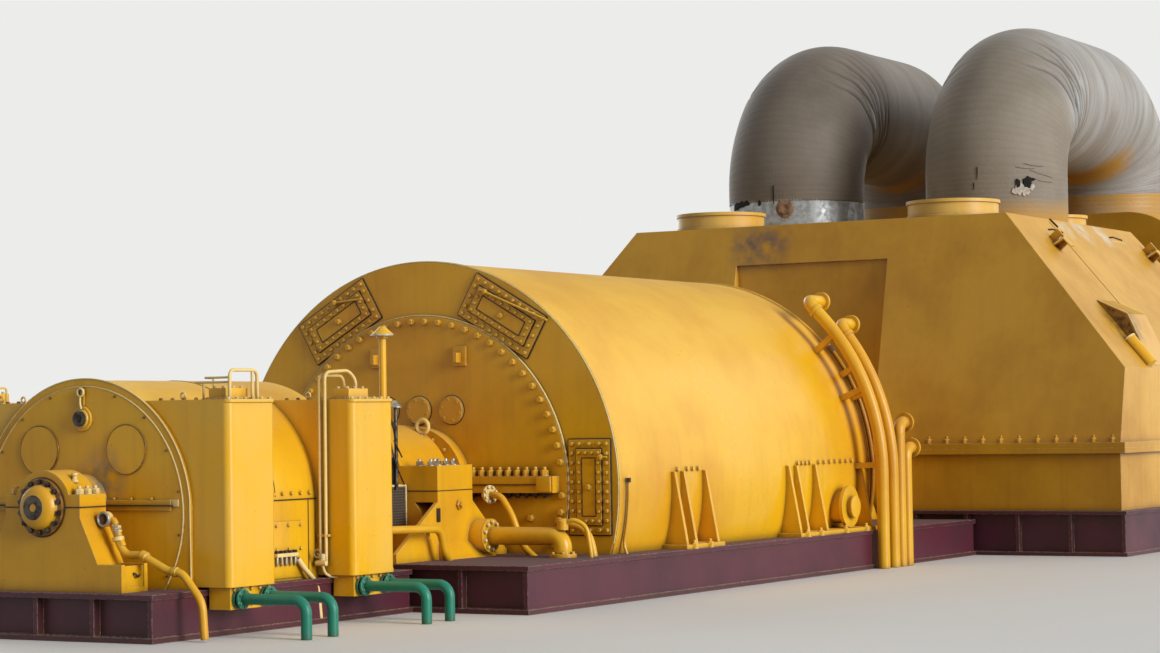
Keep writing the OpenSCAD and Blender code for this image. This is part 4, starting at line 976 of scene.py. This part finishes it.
class FitHatches(bpy.types.Operator):
    """Makes the bolt rows, dark seams and stay bars of the generator's hatches"""

    bl_idname = "turbine_set.hatches"
    bl_label = "Hatches"

    def execute(self, context):
        s = sizes()
        for end, name in ((0, "front_hatch_bolting"), (1, "rear_hatch_bolting")):
            out = TO_REAR if end else TO_FRONT
            work = Piece(name)
            for turn in (-90, -30, 30, 90):
                spin = Matrix.Rotation(math.radians(turn), 3, "X")

                def on_hatch(long, short, proud):
                    """A place on this hatch: along it, outward from the shaft, and proud of its end."""
                    y, z = (spin @ Vector((0, long, 1.8055 + short)))[1:]
                    return at(GENERATOR_LENGTH + proud if end else -proud, y, z)

                half_long, half_short = 0.425, 0.2125
                for long in spread(-half_long + 0.04, half_long - 0.04, 10):
                    for short in (-half_short + 0.035, half_short - 0.035):
                        work.bolt(on_hatch(long, short, 0.016), out, s.hatch_bolt, "machine")
                for short in spread(-half_short + 0.11, half_short - 0.11, 3):
                    for long in (-half_long + 0.04, half_long - 0.04):
                        work.bolt(on_hatch(long, short, 0.016), out, s.hatch_bolt, "machine")
                for long in spread(-0.34 + 0.035, 0.34 - 0.035, 8):
                    for short in (-0.1, 0.1):
                        work.bolt(on_hatch(long, short, 0.03), out, 0.85 * s.hatch_bolt, "machine")
                for short in (-0.033, 0.033):
                    for long in (-0.305, 0.305):
                        work.bolt(on_hatch(long, short, 0.03), out, 0.85 * s.hatch_bolt, "machine")
                # seam round the frame, and the raised bead of the inner cover
                for a, b, proud, thick in ((0.427, 0.2145, 0.004, 0.01), (0.345, 0.1325, 0.017, 0.006),
                    (0.26, 0.07, 0.03, 0.005)):
                    corners = [on_hatch(x, y, proud) for x, y in ((-a, -b), (a, -b), (a, b), (-a, b))]
                    for p, q in zip(corners, corners[1:] + corners[:1]):
                        work.pipe([p, q], thick, "sealant", 0.01, 6)
                work.bolt(on_hatch(0, 0, 0.03), out, 0.05, "machine")
                # stay bar across the cover, turned on a knob
                bar = STAY_BARS.get(turn)
                if bar:
                    work.pipe([on_hatch(*bar[0], 0.05), on_hatch(*bar[1], 0.045)], 0.011, "machine", 0.1, 8)
                    work.turned(on_hatch(*bar[0], 0.02), out, [(0, 0.026), (0.04, 0.026), (0.046, 0.016)],
                        "machine", 14)
            work.shown()
        return {"FINISHED"}


class FitGeneratorBody(bpy.types.Operator):
    """Makes the feet bolts, side port, weld beads and drain lines of the generator's shell"""

    bl_idname = "turbine_set.generator_body"
    bl_label = "Generator Body"

    def execute(self, context):
        work = Piece("generator_body_fittings")
        above = math.radians(3.573)
        row = [1.11, *spread(1.3, 1.52, 3), *spread(3.66, 3.94, 4), *spread(4.15, 4.95, 7)]
        for side in SIDES:
            out = NEAR * -side
            lean = Vector((0, side * math.cos(above), math.sin(above)))
            for x in row:
                work.bolt(at(x, 0, 0) + lean * 2.086, lean, 0.042, "machine")
            for x in (1.09, 1.4, 3.49, 3.8, 4.4, 4.9):
                work.stud(at(x, side * 2.27, -0.6), UP, 0.06, "machine", 1.0)
            # neck and cap of the side port
            work.turned(at(4.66, side * 2.21, -0.342), out, [(0, 0.1), (0.04, 0.1), (0.042, 0.115), (0.06, 0.115),
                (0.063, 0.09)], "machine", 32)
        # weld beads that ring the shell beside each end ring
        for x in (0.075, 5.375):
            arc = [round_shaft(x, 2.088, d) for d in range(-14, 195, 3)]
            work.pipe(arc, 0.008, "machine", 0.02, 6)
        # rim of the front ring, drawn cream: a painted highlight along it
        work.pipe([round_shaft(0.006, 2.092, d) for d in range(-14, 195, 2)], 0.007, "cream", 0.02, 6)
        work.shown()

        # thin drain line that follows the edge of the rear ring up to its vent
        drain = Piece("ring_drain_lines")
        for side in SIDES:
            arc = [round_shaft(5.43, 2.122, d if side < 0 else 180 - d) for d in range(-14, 40, 2)]
            drain.pipe(arc, 0.02, "machine", 0.02, 10)
            tangent = (arc[-1] - arc[-2]).normalized()
            drain.turned(arc[-1], tangent, [(-0.02, 0.034), (0.03, 0.036), (0.05, 0.03), (0.055, 0.02)], "rust", 14)
            drain.turned(arc[-1] + tangent * 0.05, tangent, [(0, 0.02), (0.05, 0.02), (0.055, 0.012)], "cream", 12)
        drain.shown()
        return {"FINISHED"}


class FitTurbineCasings(bpy.types.Operator):
    """Makes the joint studs, seams and bolts of the hood, the second casing and their pedestals"""

    bl_idname = "turbine_set.turbine_casings"
    bl_label = "Turbine Casings"

    def execute(self, context):
        s = sizes()
        work = Piece("casing_joint_bolting")
        for half, x_first, x_last in ((3.955, 7.97, 13.56), (2.985, 14.28, 18.33)):
            for x in spread(x_first, x_last, int((x_last - x_first) / 0.2)):
                for side in SIDES:
                    work.stud(at(x, side * half, 0.26), UP, s.flange_nut, "machine", 0.9)
                    work.stud(at(x, side * half, 0.14), DOWN, s.flange_nut, "machine", 0.7)
        for x, half, inner in ((7.945, 3.9, 1.05), (13.6, 3.9, 0.75), (18.36, 2.9, 1.05)):
            for side in SIDES:
                for y in spread(inner, half, int((half - inner) / 0.2)):
                    work.stud(at(x, side * y, 0.26), UP, s.flange_nut, "machine", 0.9)
        # horizontal joint itself
        for half, x_first, x_last in ((4.001, 7.9, 13.64), (3.031, 14.2, 18.4)):
            for side in SIDES:
                work.pipe([at(x_first, side * half, 0.2), at(x_last, side * half, 0.2)], 0.006, "sealant", 0.01, 6)
        for side in SIDES:
            work.pipe([at(7.899, side * 4.0, 0.2), at(7.899, side, 0.2)], 0.006, "sealant", 0.01, 6)
        work.shown()

        caps = Piece("bearing_cap_studs")
        for row, y, top in ((spread(6.72, 7.668, 4), 0.83, 0.13), (spread(18.55, 19.65, 6), 0.91, 0.12)):
            for x in row:
                for side in SIDES:
                    caps.stud(at(x, side * y, top), UP, s.joint_nut, "machine", 0.9)
        for d in (30, 60, 90, 120, 150):
            caps.bolt(round_shaft(19.8, 0.7, d), TO_REAR, 0.05, "machine")
        for x, z in ((7.2, 0.755), (19.1, 0.795)):
            caps.eye(at(x, 0, z), UP, NEAR, 0.06, 0.02, "machine")
        caps.shown()

        seams = Piece("hood_seams_and_hooks")
        # edges of the sloping side: top (half width 2.45 at 2.93) to shoulder (half width 4.0 at 1.09)
        top_y, top_z, low_y, low_z = 2.45, 2.93, 4.0, 1.09

        def slope(x, share, side, proud=0.0):
            """A place on the sloping side, by its share of the way from the top down to the shoulder."""
            lean = Vector((0, (top_z - low_z) * side, low_y - top_y)).normalized()
            return at(x, side * (top_y + share * (low_y - top_y)), top_z + share * (low_z - top_z)) + lean * proud

        for side in SIDES:
            # seam down the slope, and slots cut through the sheet near its top, drawn dark as painted shade in
            # them, each with a pale line below
            seams.pipe([slope(9.9, 0.02, side, -0.002), slope(9.9, 0.985, side, -0.002)], 0.006, "sealant", 0.01, 6)
            for x, half, share, thick in ((9.835, 0.23, 0.084, 0.012), (12.02, 0.22, 0.076, 0.012)):
                seams.pipe([slope(x - half, share, side), slope(x - 0.3 * half, share - 0.008, side),
                    slope(x + half, share + 0.006, side)], thick, "shade_and_char", 0.02, 8)
                seams.pipe([slope(x - half, share + 0.022, side), slope(x + half, share + 0.03, side)], 0.007,
                    "cream", 0.01, 6)
            # dark crack near the top of the slope: painted shade in it
            seams.pipe([slope(9.99, 0.0, side), slope(10.04, 0.055, side)], 0.018, "shade_and_char", 0.01, 8)
            # folded strap before each lifting lug, with a pale rim: a painted highlight on its lit edge
            for x in (9.41, 12.81):
                fold = [(2.735, 2.588), (2.874, 2.668), (2.975, 2.56), (2.955, 2.545), (2.872, 2.638),
                    (2.75, 2.565)]
                seams.skin([[at(x - reach, side * y, z) for y, z in fold] for reach in (0.1, 0.0)], "machine")
                rim = [at(x - 0.1, side * y, z) for y, z in ((2.743, 2.577), (2.873, 2.653), (2.965, 2.553))]
                seams.pipe(rim, 0.011, "cream", 0.004, 8)
            # drain stub below the first wedge bracket, with a dark disc in its mouth: painted shade inside the pipe
            stub = [slope(9.03, share, side, 0.02) for share in (0.82, 0.985)]
            seams.pipe(stub, 0.085, "machine", 0.01, 24)
            down = (stub[1] - stub[0]).normalized()
            seams.hoop(stub[0], down, 0.08, 0.012, "cream", 28, 8)
            seams.turned(stub[0], -down, [(0, 0.072), (0.003, 0.071)], "shade_and_char", 24)
            # lip of the wedge bracket's top sheet, drawn pale: a painted highlight
            seams.pipe([at(9.148, side * 3.34, 1.893), at(9.148, side * 3.686, 1.734)], 0.01, "cream", 0.01, 8)
            # dark face in the wedge bracket's mouth: painted shade inside it
            mouth = [(3.42, 1.83), (3.66, 1.715), (3.83, 1.4), (3.7, 1.45)]
            seams.skin([[at(x, side * y, z) for y, z in mouth] for x in (9.1485, 9.16)], "oiled enamel and shade")
        seams.shown()
        return {"FINISHED"}


class WrapCrossovers(bpy.types.Operator):
    """Makes the lagged crossover pipes with their folded cloth, the torn place and the sheet collar"""

    bl_idname = "turbine_set.crossovers"
    bl_label = "Crossovers"

    def execute(self, context):
        hood_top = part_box("relief_covers")[0].z
        # turn of the bend where each fold of slack cloth lies, and how deep it is there
        folds = ((40, 0.35), (50, 0.5), (57, 0.8), (61, 0.6), (65, 1.0), (69, 0.7), (73, 1.0), (78, 0.8), (83, 0.6),
            (89, 0.4))
        # the far pipe's darker cloth and weaker sheen are partly painted shade from the near pipe
        self.wrap("crossover_pipe_right", "lagging", hood_top + 0.004, folds, 0.95)
        self.wrap("crossover_pipe_left", "smoked and shaded lagging", hood_top + 0.43, folds, 0.3)
        self.tear(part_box("crossover_pipe_right"))
        self.collar(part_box("crossover_pipe_left"), hood_top)
        return {"FINISHED"}

    def wrap(self, node, coat, foot, folds, painted):
        """The cloth over one pipe: up the front leg, over the two bends and down the rear leg."""
        depth, bend = sizes().lagging_depth, sizes().lagging_bend
        around, quarter = 96, 1.82
        low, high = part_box(node)
        radius, middle = (high.y - low.y) / 2, (high.y + low.y) / 2
        near = middle < 0
        spring = high.z - radius - bend
        front, rear = low.x + radius, high.x - radius
        seed = 17.0 if near else 3.0
        # middle of the pipe, its direction and how far round the bends it is in degrees; a straight
        # length counts as it would on a quarter turn
        path = [(Vector((front, middle, z)), UP, -90.0 * (spring - z) / quarter) for z in spread(foot, spring,
            16)[:-1]]
        for i in range(135):
            a = math.radians(i / 1.5)
            path.append((Vector((front + bend * (1 - math.cos(a)), middle, spring + bend * math.sin(a))),
                Vector((math.sin(a), 0, math.cos(a))), i / 1.5))
        for x in spread(front + bend, rear - bend, 44)[:-1]:
            path.append((Vector((x, middle, spring + bend)), TO_REAR, 90.0 + 90.0 * (x - front - bend) / quarter))
        for i in range(50):
            a = math.radians(90 * i / 50)
            path.append((Vector((rear - bend + bend * math.sin(a), middle, spring + bend * math.cos(a))),
                Vector((math.cos(a), 0, -math.sin(a))), 180.0 + i))
        for z in spread(spring, low.z, 8):
            path.append((Vector((rear, middle, z)), DOWN, 240.0))

        mesh = bmesh.new()
        uv = mesh.loops.layers.uv.new("wound")
        marks = {name: mesh.verts.layers.float.new(name) for name in ("overspray", "aluminium_and_sheen", "fold")}
        travel, distances, rows = 0.0, [], []
        for i, (centre, along, turn) in enumerate(path):
            if i:
                travel += (centre - path[i - 1][0]).length
            distances.append(travel)
            inward = NEAR.cross(along)
            inward = inward if inward.z < -1e-6 or inward.x * (1 if turn < 90 else -1) > 0 else -inward
            bent = math.sin(math.radians(2 * min(max(turn, 0), 90))) if turn < 90 else 0.0
            row = []
            for k in range(around):
                a = math.tau * k / around
                out = Vector((0, 1, 0)) * math.sin(a) + inward * math.cos(a)
                inside = max(0.0, math.cos(a))
                spot = math.degrees(min(a, math.tau - a))
                flank = max(0.0, 1.0 - spot / 135)
                wander = 5.0 * noise.noise(Vector((a * 1.1, seed, 0.0))) - 9.0 * (1 - flank) ** 2
                pinch = 0.0
                for place, deep in folds:
                    gap = turn - place - wander - 2.5 * noise.noise(Vector((a * 2.0, place, seed)))
                    reach = (165 if place > 52 else 95) - 60 * abs(noise.noise(Vector((place * 0.37, seed,
                        2.0)))) - spot
                    pinch = max(pinch, deep * math.exp(-gap * gap) * min(1.0, max(0.0, reach / 45)))
                lump = noise.noise((centre + out * radius) * 1.6 + Vector((seed, 0, 0)))
                pucker = noise.noise(Vector((math.sin(a) * 1.5 + seed, travel * 6.0, 0.0)))
                sink = depth * (0.5 + 0.45 * lump) + 0.045 * pinch + 0.05 * bent * inside ** 2 * (0.5
                    + 0.9 * pucker)
                vert = mesh.verts.new(centre + out * (radius - max(sink, 0.001)))
                # yellow paint strayed onto the feet and under the rear bend
                from_foot = centre.z - foot if turn < 0 else 9.0
                stray = max(0.0, 1.25 - from_foot / 0.34) if near else 0.0
                under = max(0.0, -out.z) if turn > 90 else 0.0
                stray = max(stray, min(1.6, 3.2 * under - 1.2) * min(1.0, max(0.0, (turn - 150) / 40)))
                stray = stray if near else 0.45 * stray
                vert[marks["overspray"]] = max(stray, 1.0 if turn > 228 else 0.0)
                # the aluminium paint's share rises after the front bend and on the pipe's side away from the other
                # pipe, a painted sheen from the light there; a painted glint on the bend's flank and a painted
                # highlight streak down the front leg are added to it
                facing = out.y * (-1 if near else 1)
                painted_glint = math.exp(-(((turn - 60) / 13) ** 2)) * math.exp(-(((spot - 78) / 22) ** 2))
                painted_crest = math.exp(-(((spot - 72) / 9) ** 2)) * (1.0 if turn < 30 else 0.0)
                vert[marks["aluminium_and_sheen"]] = (painted * min(1.0, max(0.0, (turn - 52 + 18 * facing) / 40)) * 0.7
                    + 1.3 * painted_glint + (0.1 if near else 0.55) * painted_crest)
                vert[marks["fold"]] = min(1.0, pinch * 1.2)
                row.append(vert)
            rows.append(row)
        for i in range(len(rows) - 1):
            for k in range(around):
                j = (k + 1) % around
                face = mesh.faces.new((rows[i][k], rows[i][j], rows[i + 1][j], rows[i + 1][k]))
                face.smooth = True
                for loop, (u, v) in zip(face.loops, ((k, i), (k + 1, i), (k + 1, i + 1), (k, i + 1))):
                    loop[uv].uv = (u / around * math.tau * radius, distances[v])
        mesh.faces.new(rows[0][::-1])
        mesh.faces.new(rows[-1])
        bmesh.ops.recalc_face_normals(mesh, faces=mesh.faces[:])
        name = node.replace("pipe", "lagging")
        data = bpy.data.meshes.new(name)
        mesh.to_mesh(data)
        mesh.free()
        data.materials.append(finish(coat))
        cloth = put(name, data)
        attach(cloth, "root")
        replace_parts(cloth, node)

    def patch(self, piece, axle, radius, degrees, z, wide, tall, coat, seed, proud=0.004):
        """A ragged patch that lies on an upright pipe."""
        loops = []
        for reach, share in ((-0.03, 1.0), (0.0, 1.0), (proud, 0.9)):
            loop = []
            for k in range(22):
                a = math.tau * k / 22
                ragged = share * (0.85 + 0.45 * noise.noise(Vector((math.cos(a) * 1.6, math.sin(a) * 1.6, seed))))
                turn = math.radians(degrees) + 0.5 * wide * ragged * math.cos(a) / radius
                spot = axle + Vector((math.cos(turn), math.sin(turn), 0)) * (radius + reach)
                loop.append(Vector((spot.x, spot.y, z + 0.5 * tall * ragged * math.sin(a))))
            loops.append(loop)
        piece.skin(loops, coat)

    def tear(self, box):
        """The torn place low on the near pipe: dark holes over pale tufts of mineral wool."""
        low, high = box
        radius = (high.y - low.y) / 2
        axle = Vector((low.x + radius, (high.y + low.y) / 2, 0))
        piece = Piece("lagging_tear", "lagging_sheet")
        for i in range(44):
            wave = noise.noise_vector(Vector((i * 1.37, 4.1, 0.7)))
            degrees = -135.5 + 13.0 * wave.x
            z = SHAFT_HEIGHT + 3.345 + 0.12 * wave.y
            self.patch(piece, axle, radius - 0.003, degrees, z, 0.05 + 0.05 * abs(wave.z),
                0.05 + 0.06 * abs(wave.x), "wool", i * 2.3, 0.012)
        # dark holes: painted shade inside them, over charred wool
        self.patch(piece, axle, radius + 0.002, -133.6, SHAFT_HEIGHT + 3.43, 0.16, 0.17, "shade_and_char", 3.3, 0.012)
        self.patch(piece, axle, radius + 0.002, -141.4, SHAFT_HEIGHT + 3.415, 0.08, 0.12, "shade_and_char", 8.1, 0.012)
        self.patch(piece, axle, radius, -128.0, SHAFT_HEIGHT + 3.465, 0.07, 0.04, "shade_and_char", 5.2, 0.004)
        # slits where the cloth has parted along its seam, drawn dark: painted shade in them
        for degrees, z, wide, tall in ((-173.6, 3.56, 0.014, 0.2), (-176.5, 3.4, 0.016, 0.1)):
            self.patch(piece, axle, radius - 0.001, degrees, SHAFT_HEIGHT + z, wide, tall, "shade_and_char", z * 3, 0.001)
        # slanting creases where the cloth sags above the hole, drawn in the darker cloth of the far pipe: painted
        # shade in the creases
        for first, z_first, last, z_last in ((-143, 3.62, -127, 3.60), (-131, 3.58, -108, 3.5),
            (-136, 3.66, -118, 3.63), (-127, 3.47, -108, 3.44)):
            line = []
            for t in spread(0.0, 1.0, 7):
                turn = math.radians(first + t * (last - first))
                sag = 0.012 * math.sin(math.pi * t) + 0.006 * noise.noise(Vector((t * 4, first, 0)))
                line.append(axle + Vector((math.cos(turn), math.sin(turn), 0)) * (radius - 0.008)
                    + UP * (SHAFT_HEIGHT + z_first + t * (z_last - z_first) - sag))
            piece.pipe(line, 0.0055, "smoked and shaded lagging", 0.02, 6)
        piece.shown()

    def collar(self, box, hood_top):
        """The crimped aluminium collar at the foot of the far pipe, with its gaps and rusty stub."""
        low, high = box
        radius = (high.y - low.y) / 2
        axle = Vector((low.x + radius, (high.y + low.y) / 2, 0))
        piece = Piece("crossover_sheet_collar", "lagging_sheet")
        crimps = 132
        loops = []
        for z, grow in ((0.003, -0.004), (0.012, 0.0), (0.16, -0.006), (0.3, 0.0), (0.42, -0.004), (0.45, 0.0)):
            loop = []
            for k in range(2 * crimps):
                a = math.pi * k / crimps
                waver = 0.006 * noise.noise(Vector((math.cos(a) * 5, math.sin(a) * 5, z * 2)))
                r = radius - 0.012 + grow + waver + (0.006 if k % 2 else 0.0)
                loop.append(axle + Vector((math.cos(a) * r, math.sin(a) * r, hood_top + z + 0.01 * waver)))
            loops.append(loop)
        piece.skin(loops, "aluminium")
        # dark patches in the collar's gaps: painted shade
        for degrees, z, wide, tall in ((143.0, 0.4, 0.16, 0.13), (151.0, 0.42, 0.16, 0.11),
            (158.0, 0.43, 0.12, 0.09), (172.5, 0.42, 0.04, 0.1), (-174.0, 0.5, 0.02, 0.3)):
            self.patch(piece, axle, radius - 0.004, degrees, hood_top + z, wide, tall, "shade_and_char", z * 9, 0.005)
        a = math.radians(-164.5)
        out = Vector((math.cos(a), math.sin(a), 0))
        seat = axle + out * (radius - 0.02) + UP * (hood_top + 0.33)
        piece.turned(seat, out, [(0, 0.115), (0.02, 0.118), (0.03, 0.11), (0.034, 0.08), (0.05, 0.075),
            (0.055, 0.05), (0.045, 0.02)], "rust", 30)
        piece.shown()


def seen_rays(tree):
    """One on rays that the camera sends or that a surface mirrors or lets through, else nought."""
    path = add(tree, "LightPath")
    seen = add(tree, "Math", {0: path.outputs["Is Camera Ray"], 1: path.outputs["Is Glossy Ray"]},
        operation="MAXIMUM")
    return add(tree, "Math", {0: seen, 1: path.outputs["Is Transmission Ray"]}, operation="MAXIMUM")


class SetStage(bpy.types.Operator):
    """Makes the floor, the soft studio light and the camera"""

    bl_idname = "turbine_set.stage"
    bl_label = "Stage"

    def execute(self, context):
        look = context.scene.turbine_set_stage
        scene = context.scene
        scene.view_settings.view_transform = "Standard"

        # floor: painted concrete, seen as plain pale grey
        material, tree, shader = blank("pale studio floor")
        place = add(tree, "TexCoord").outputs["Object"]
        cloud = add(tree, "TexNoise", {"Vector": place}, {"Scale": 0.15, "Detail": 3.0})
        base = rgba("floor")
        tone = add(tree, "Mix", {0: cloud}, {6: base, 7: tuple(0.94 * c for c in base[:3]) + (1.0,)},
            data_type="RGBA")
        # the set itself is lit from below by a duller floor
        shown = add(tree, "Mix", {0: seen_rays(tree), 7: tone}, {6: rgba("A09E9A")}, data_type="RGBA")
        link(tree, shader, {"Base Color": shown})
        shader.inputs["Roughness"].default_value = 0.75
        ground = bmesh.new()
        bmesh.ops.create_circle(ground, cap_ends=True, radius=400, segments=96)
        bmesh.ops.translate(ground, verts=ground.verts[:], vec=(0, 0, -0.002))
        data = bpy.data.meshes.new("studio_floor")
        ground.to_mesh(data)
        ground.free()
        data.materials.append(material)
        floor = put("studio_floor", data)

        # light from all round, with a plain pale backdrop where the camera, metal and glass look
        world = bpy.data.worlds.new("studio light")
        scene.world = world
        world.use_nodes = True
        tree = world.node_tree
        tree.nodes.clear()
        around = add(tree, "Background", None, {"Color": (1, 1, 1, 1), "Strength": look.fill})
        backdrop = add(tree, "Background", None, {"Color": rgba("ECEDEB"), "Strength": 1.0})
        mixed = add(tree, "MixShader", {0: seen_rays(tree), 1: around, 2: backdrop})
        add(tree, "OutputWorld", {0: mixed})

        # broad soft light from the near side and above; low light straight across, which draws upright
        # glints on rounded corners; low light along the set, a sheen on flat sides and barrels; and a
        # weaker lamp for the far side and the rear
        for name, strength, width, toward in (
            ("key lamp", look.key, 24, (0.1, 0.8, -0.31)),
            ("low lamp", 0.75 * look.low, 14, (0.12, 0.8, -0.06)),
            ("far low lamp", 0.42 * look.low, 55, (-0.86, 0.5, -0.1)),
            ("back lamp", look.back, 40, (-0.6, -0.8, -0.3)),
        ):
            lamp = bpy.data.lights.new(name, "SUN")
            lamp.energy = strength
            lamp.angle = math.radians(width)
            put(name, lamp).rotation_euler = Vector(toward).to_track_quat("-Z", "Y").to_euler()
        bpy.data.lights["key lamp"].color = (1.0, 0.985, 0.96)

        ahead = Vector((math.cos(look.heading) * math.cos(look.rise), math.sin(look.heading) * math.cos(look.rise),
            math.sin(look.rise)))
        right = ahead.cross(UP).normalized()
        above = right.cross(ahead)
        turned_right = right * math.cos(look.roll) + above * math.sin(look.roll)
        turned_above = above * math.cos(look.roll) - right * math.sin(look.roll)
        camera_data = bpy.data.cameras.new("camera")
        camera_data.lens = look.lens
        camera_data.sensor_width = 36
        camera_data.sensor_fit = "HORIZONTAL"
        camera_data.clip_end = 1000
        camera = put("camera", camera_data)
        camera.matrix_world = Matrix([[turned_right[i], turned_above[i], -ahead[i], look.place[i]]
            for i in range(3)] + [[0, 0, 0, 1]])
        scene.camera = camera
        return {"FINISHED"}


STEPS = (
    CoatCastings,
    FitFrontBearing,
    FitExciter,
    FitCoolers,
    FitGeneratorBearing,
    FitGeneratorEnds,
    FitHatches,
    FitGeneratorBody,
    FitTurbineCasings,
    WrapCrossovers,
    SetStage,
)


class TurbineSetPanel(bpy.types.Panel):
    """Lists the steps that dress the turbine set"""

    bl_idname = "VIEW3D_PT_turbine_set"
    bl_label = "Turbine Set"
    bl_space_type = "VIEW_3D"
    bl_region_type = "UI"
    bl_category = "Turbine Set"

    def draw(self, context):
        for group in ("turbine_set_colours", "turbine_set_sizes", "turbine_set_stage"):
            settings = getattr(context.scene, group)
            box = self.layout.box()
            for name in settings.__annotations__:
                box.prop(settings, name)
        for step in STEPS:
            self.layout.operator(step.bl_idname)


CLASSES = (SetColours, FittingSizes, StageLook) + STEPS + (TurbineSetPanel,)


def register():
    for item in CLASSES:
        bpy.utils.register_class(item)
    bpy.types.Scene.turbine_set_colours = bpy.props.PointerProperty(type=SetColours)
    bpy.types.Scene.turbine_set_sizes = bpy.props.PointerProperty(type=FittingSizes)
    bpy.types.Scene.turbine_set_stage = bpy.props.PointerProperty(type=StageLook)


def unregister():
    del bpy.types.Scene.turbine_set_colours
    del bpy.types.Scene.turbine_set_sizes
    del bpy.types.Scene.turbine_set_stage
    for item in reversed(CLASSES):
        bpy.utils.unregister_class(item)


def main():
    register()
    for step in STEPS:
        group, name = step.bl_idname.split(".")
        getattr(getattr(bpy.ops, group), name)()


if __name__ == "__main__":
    main()
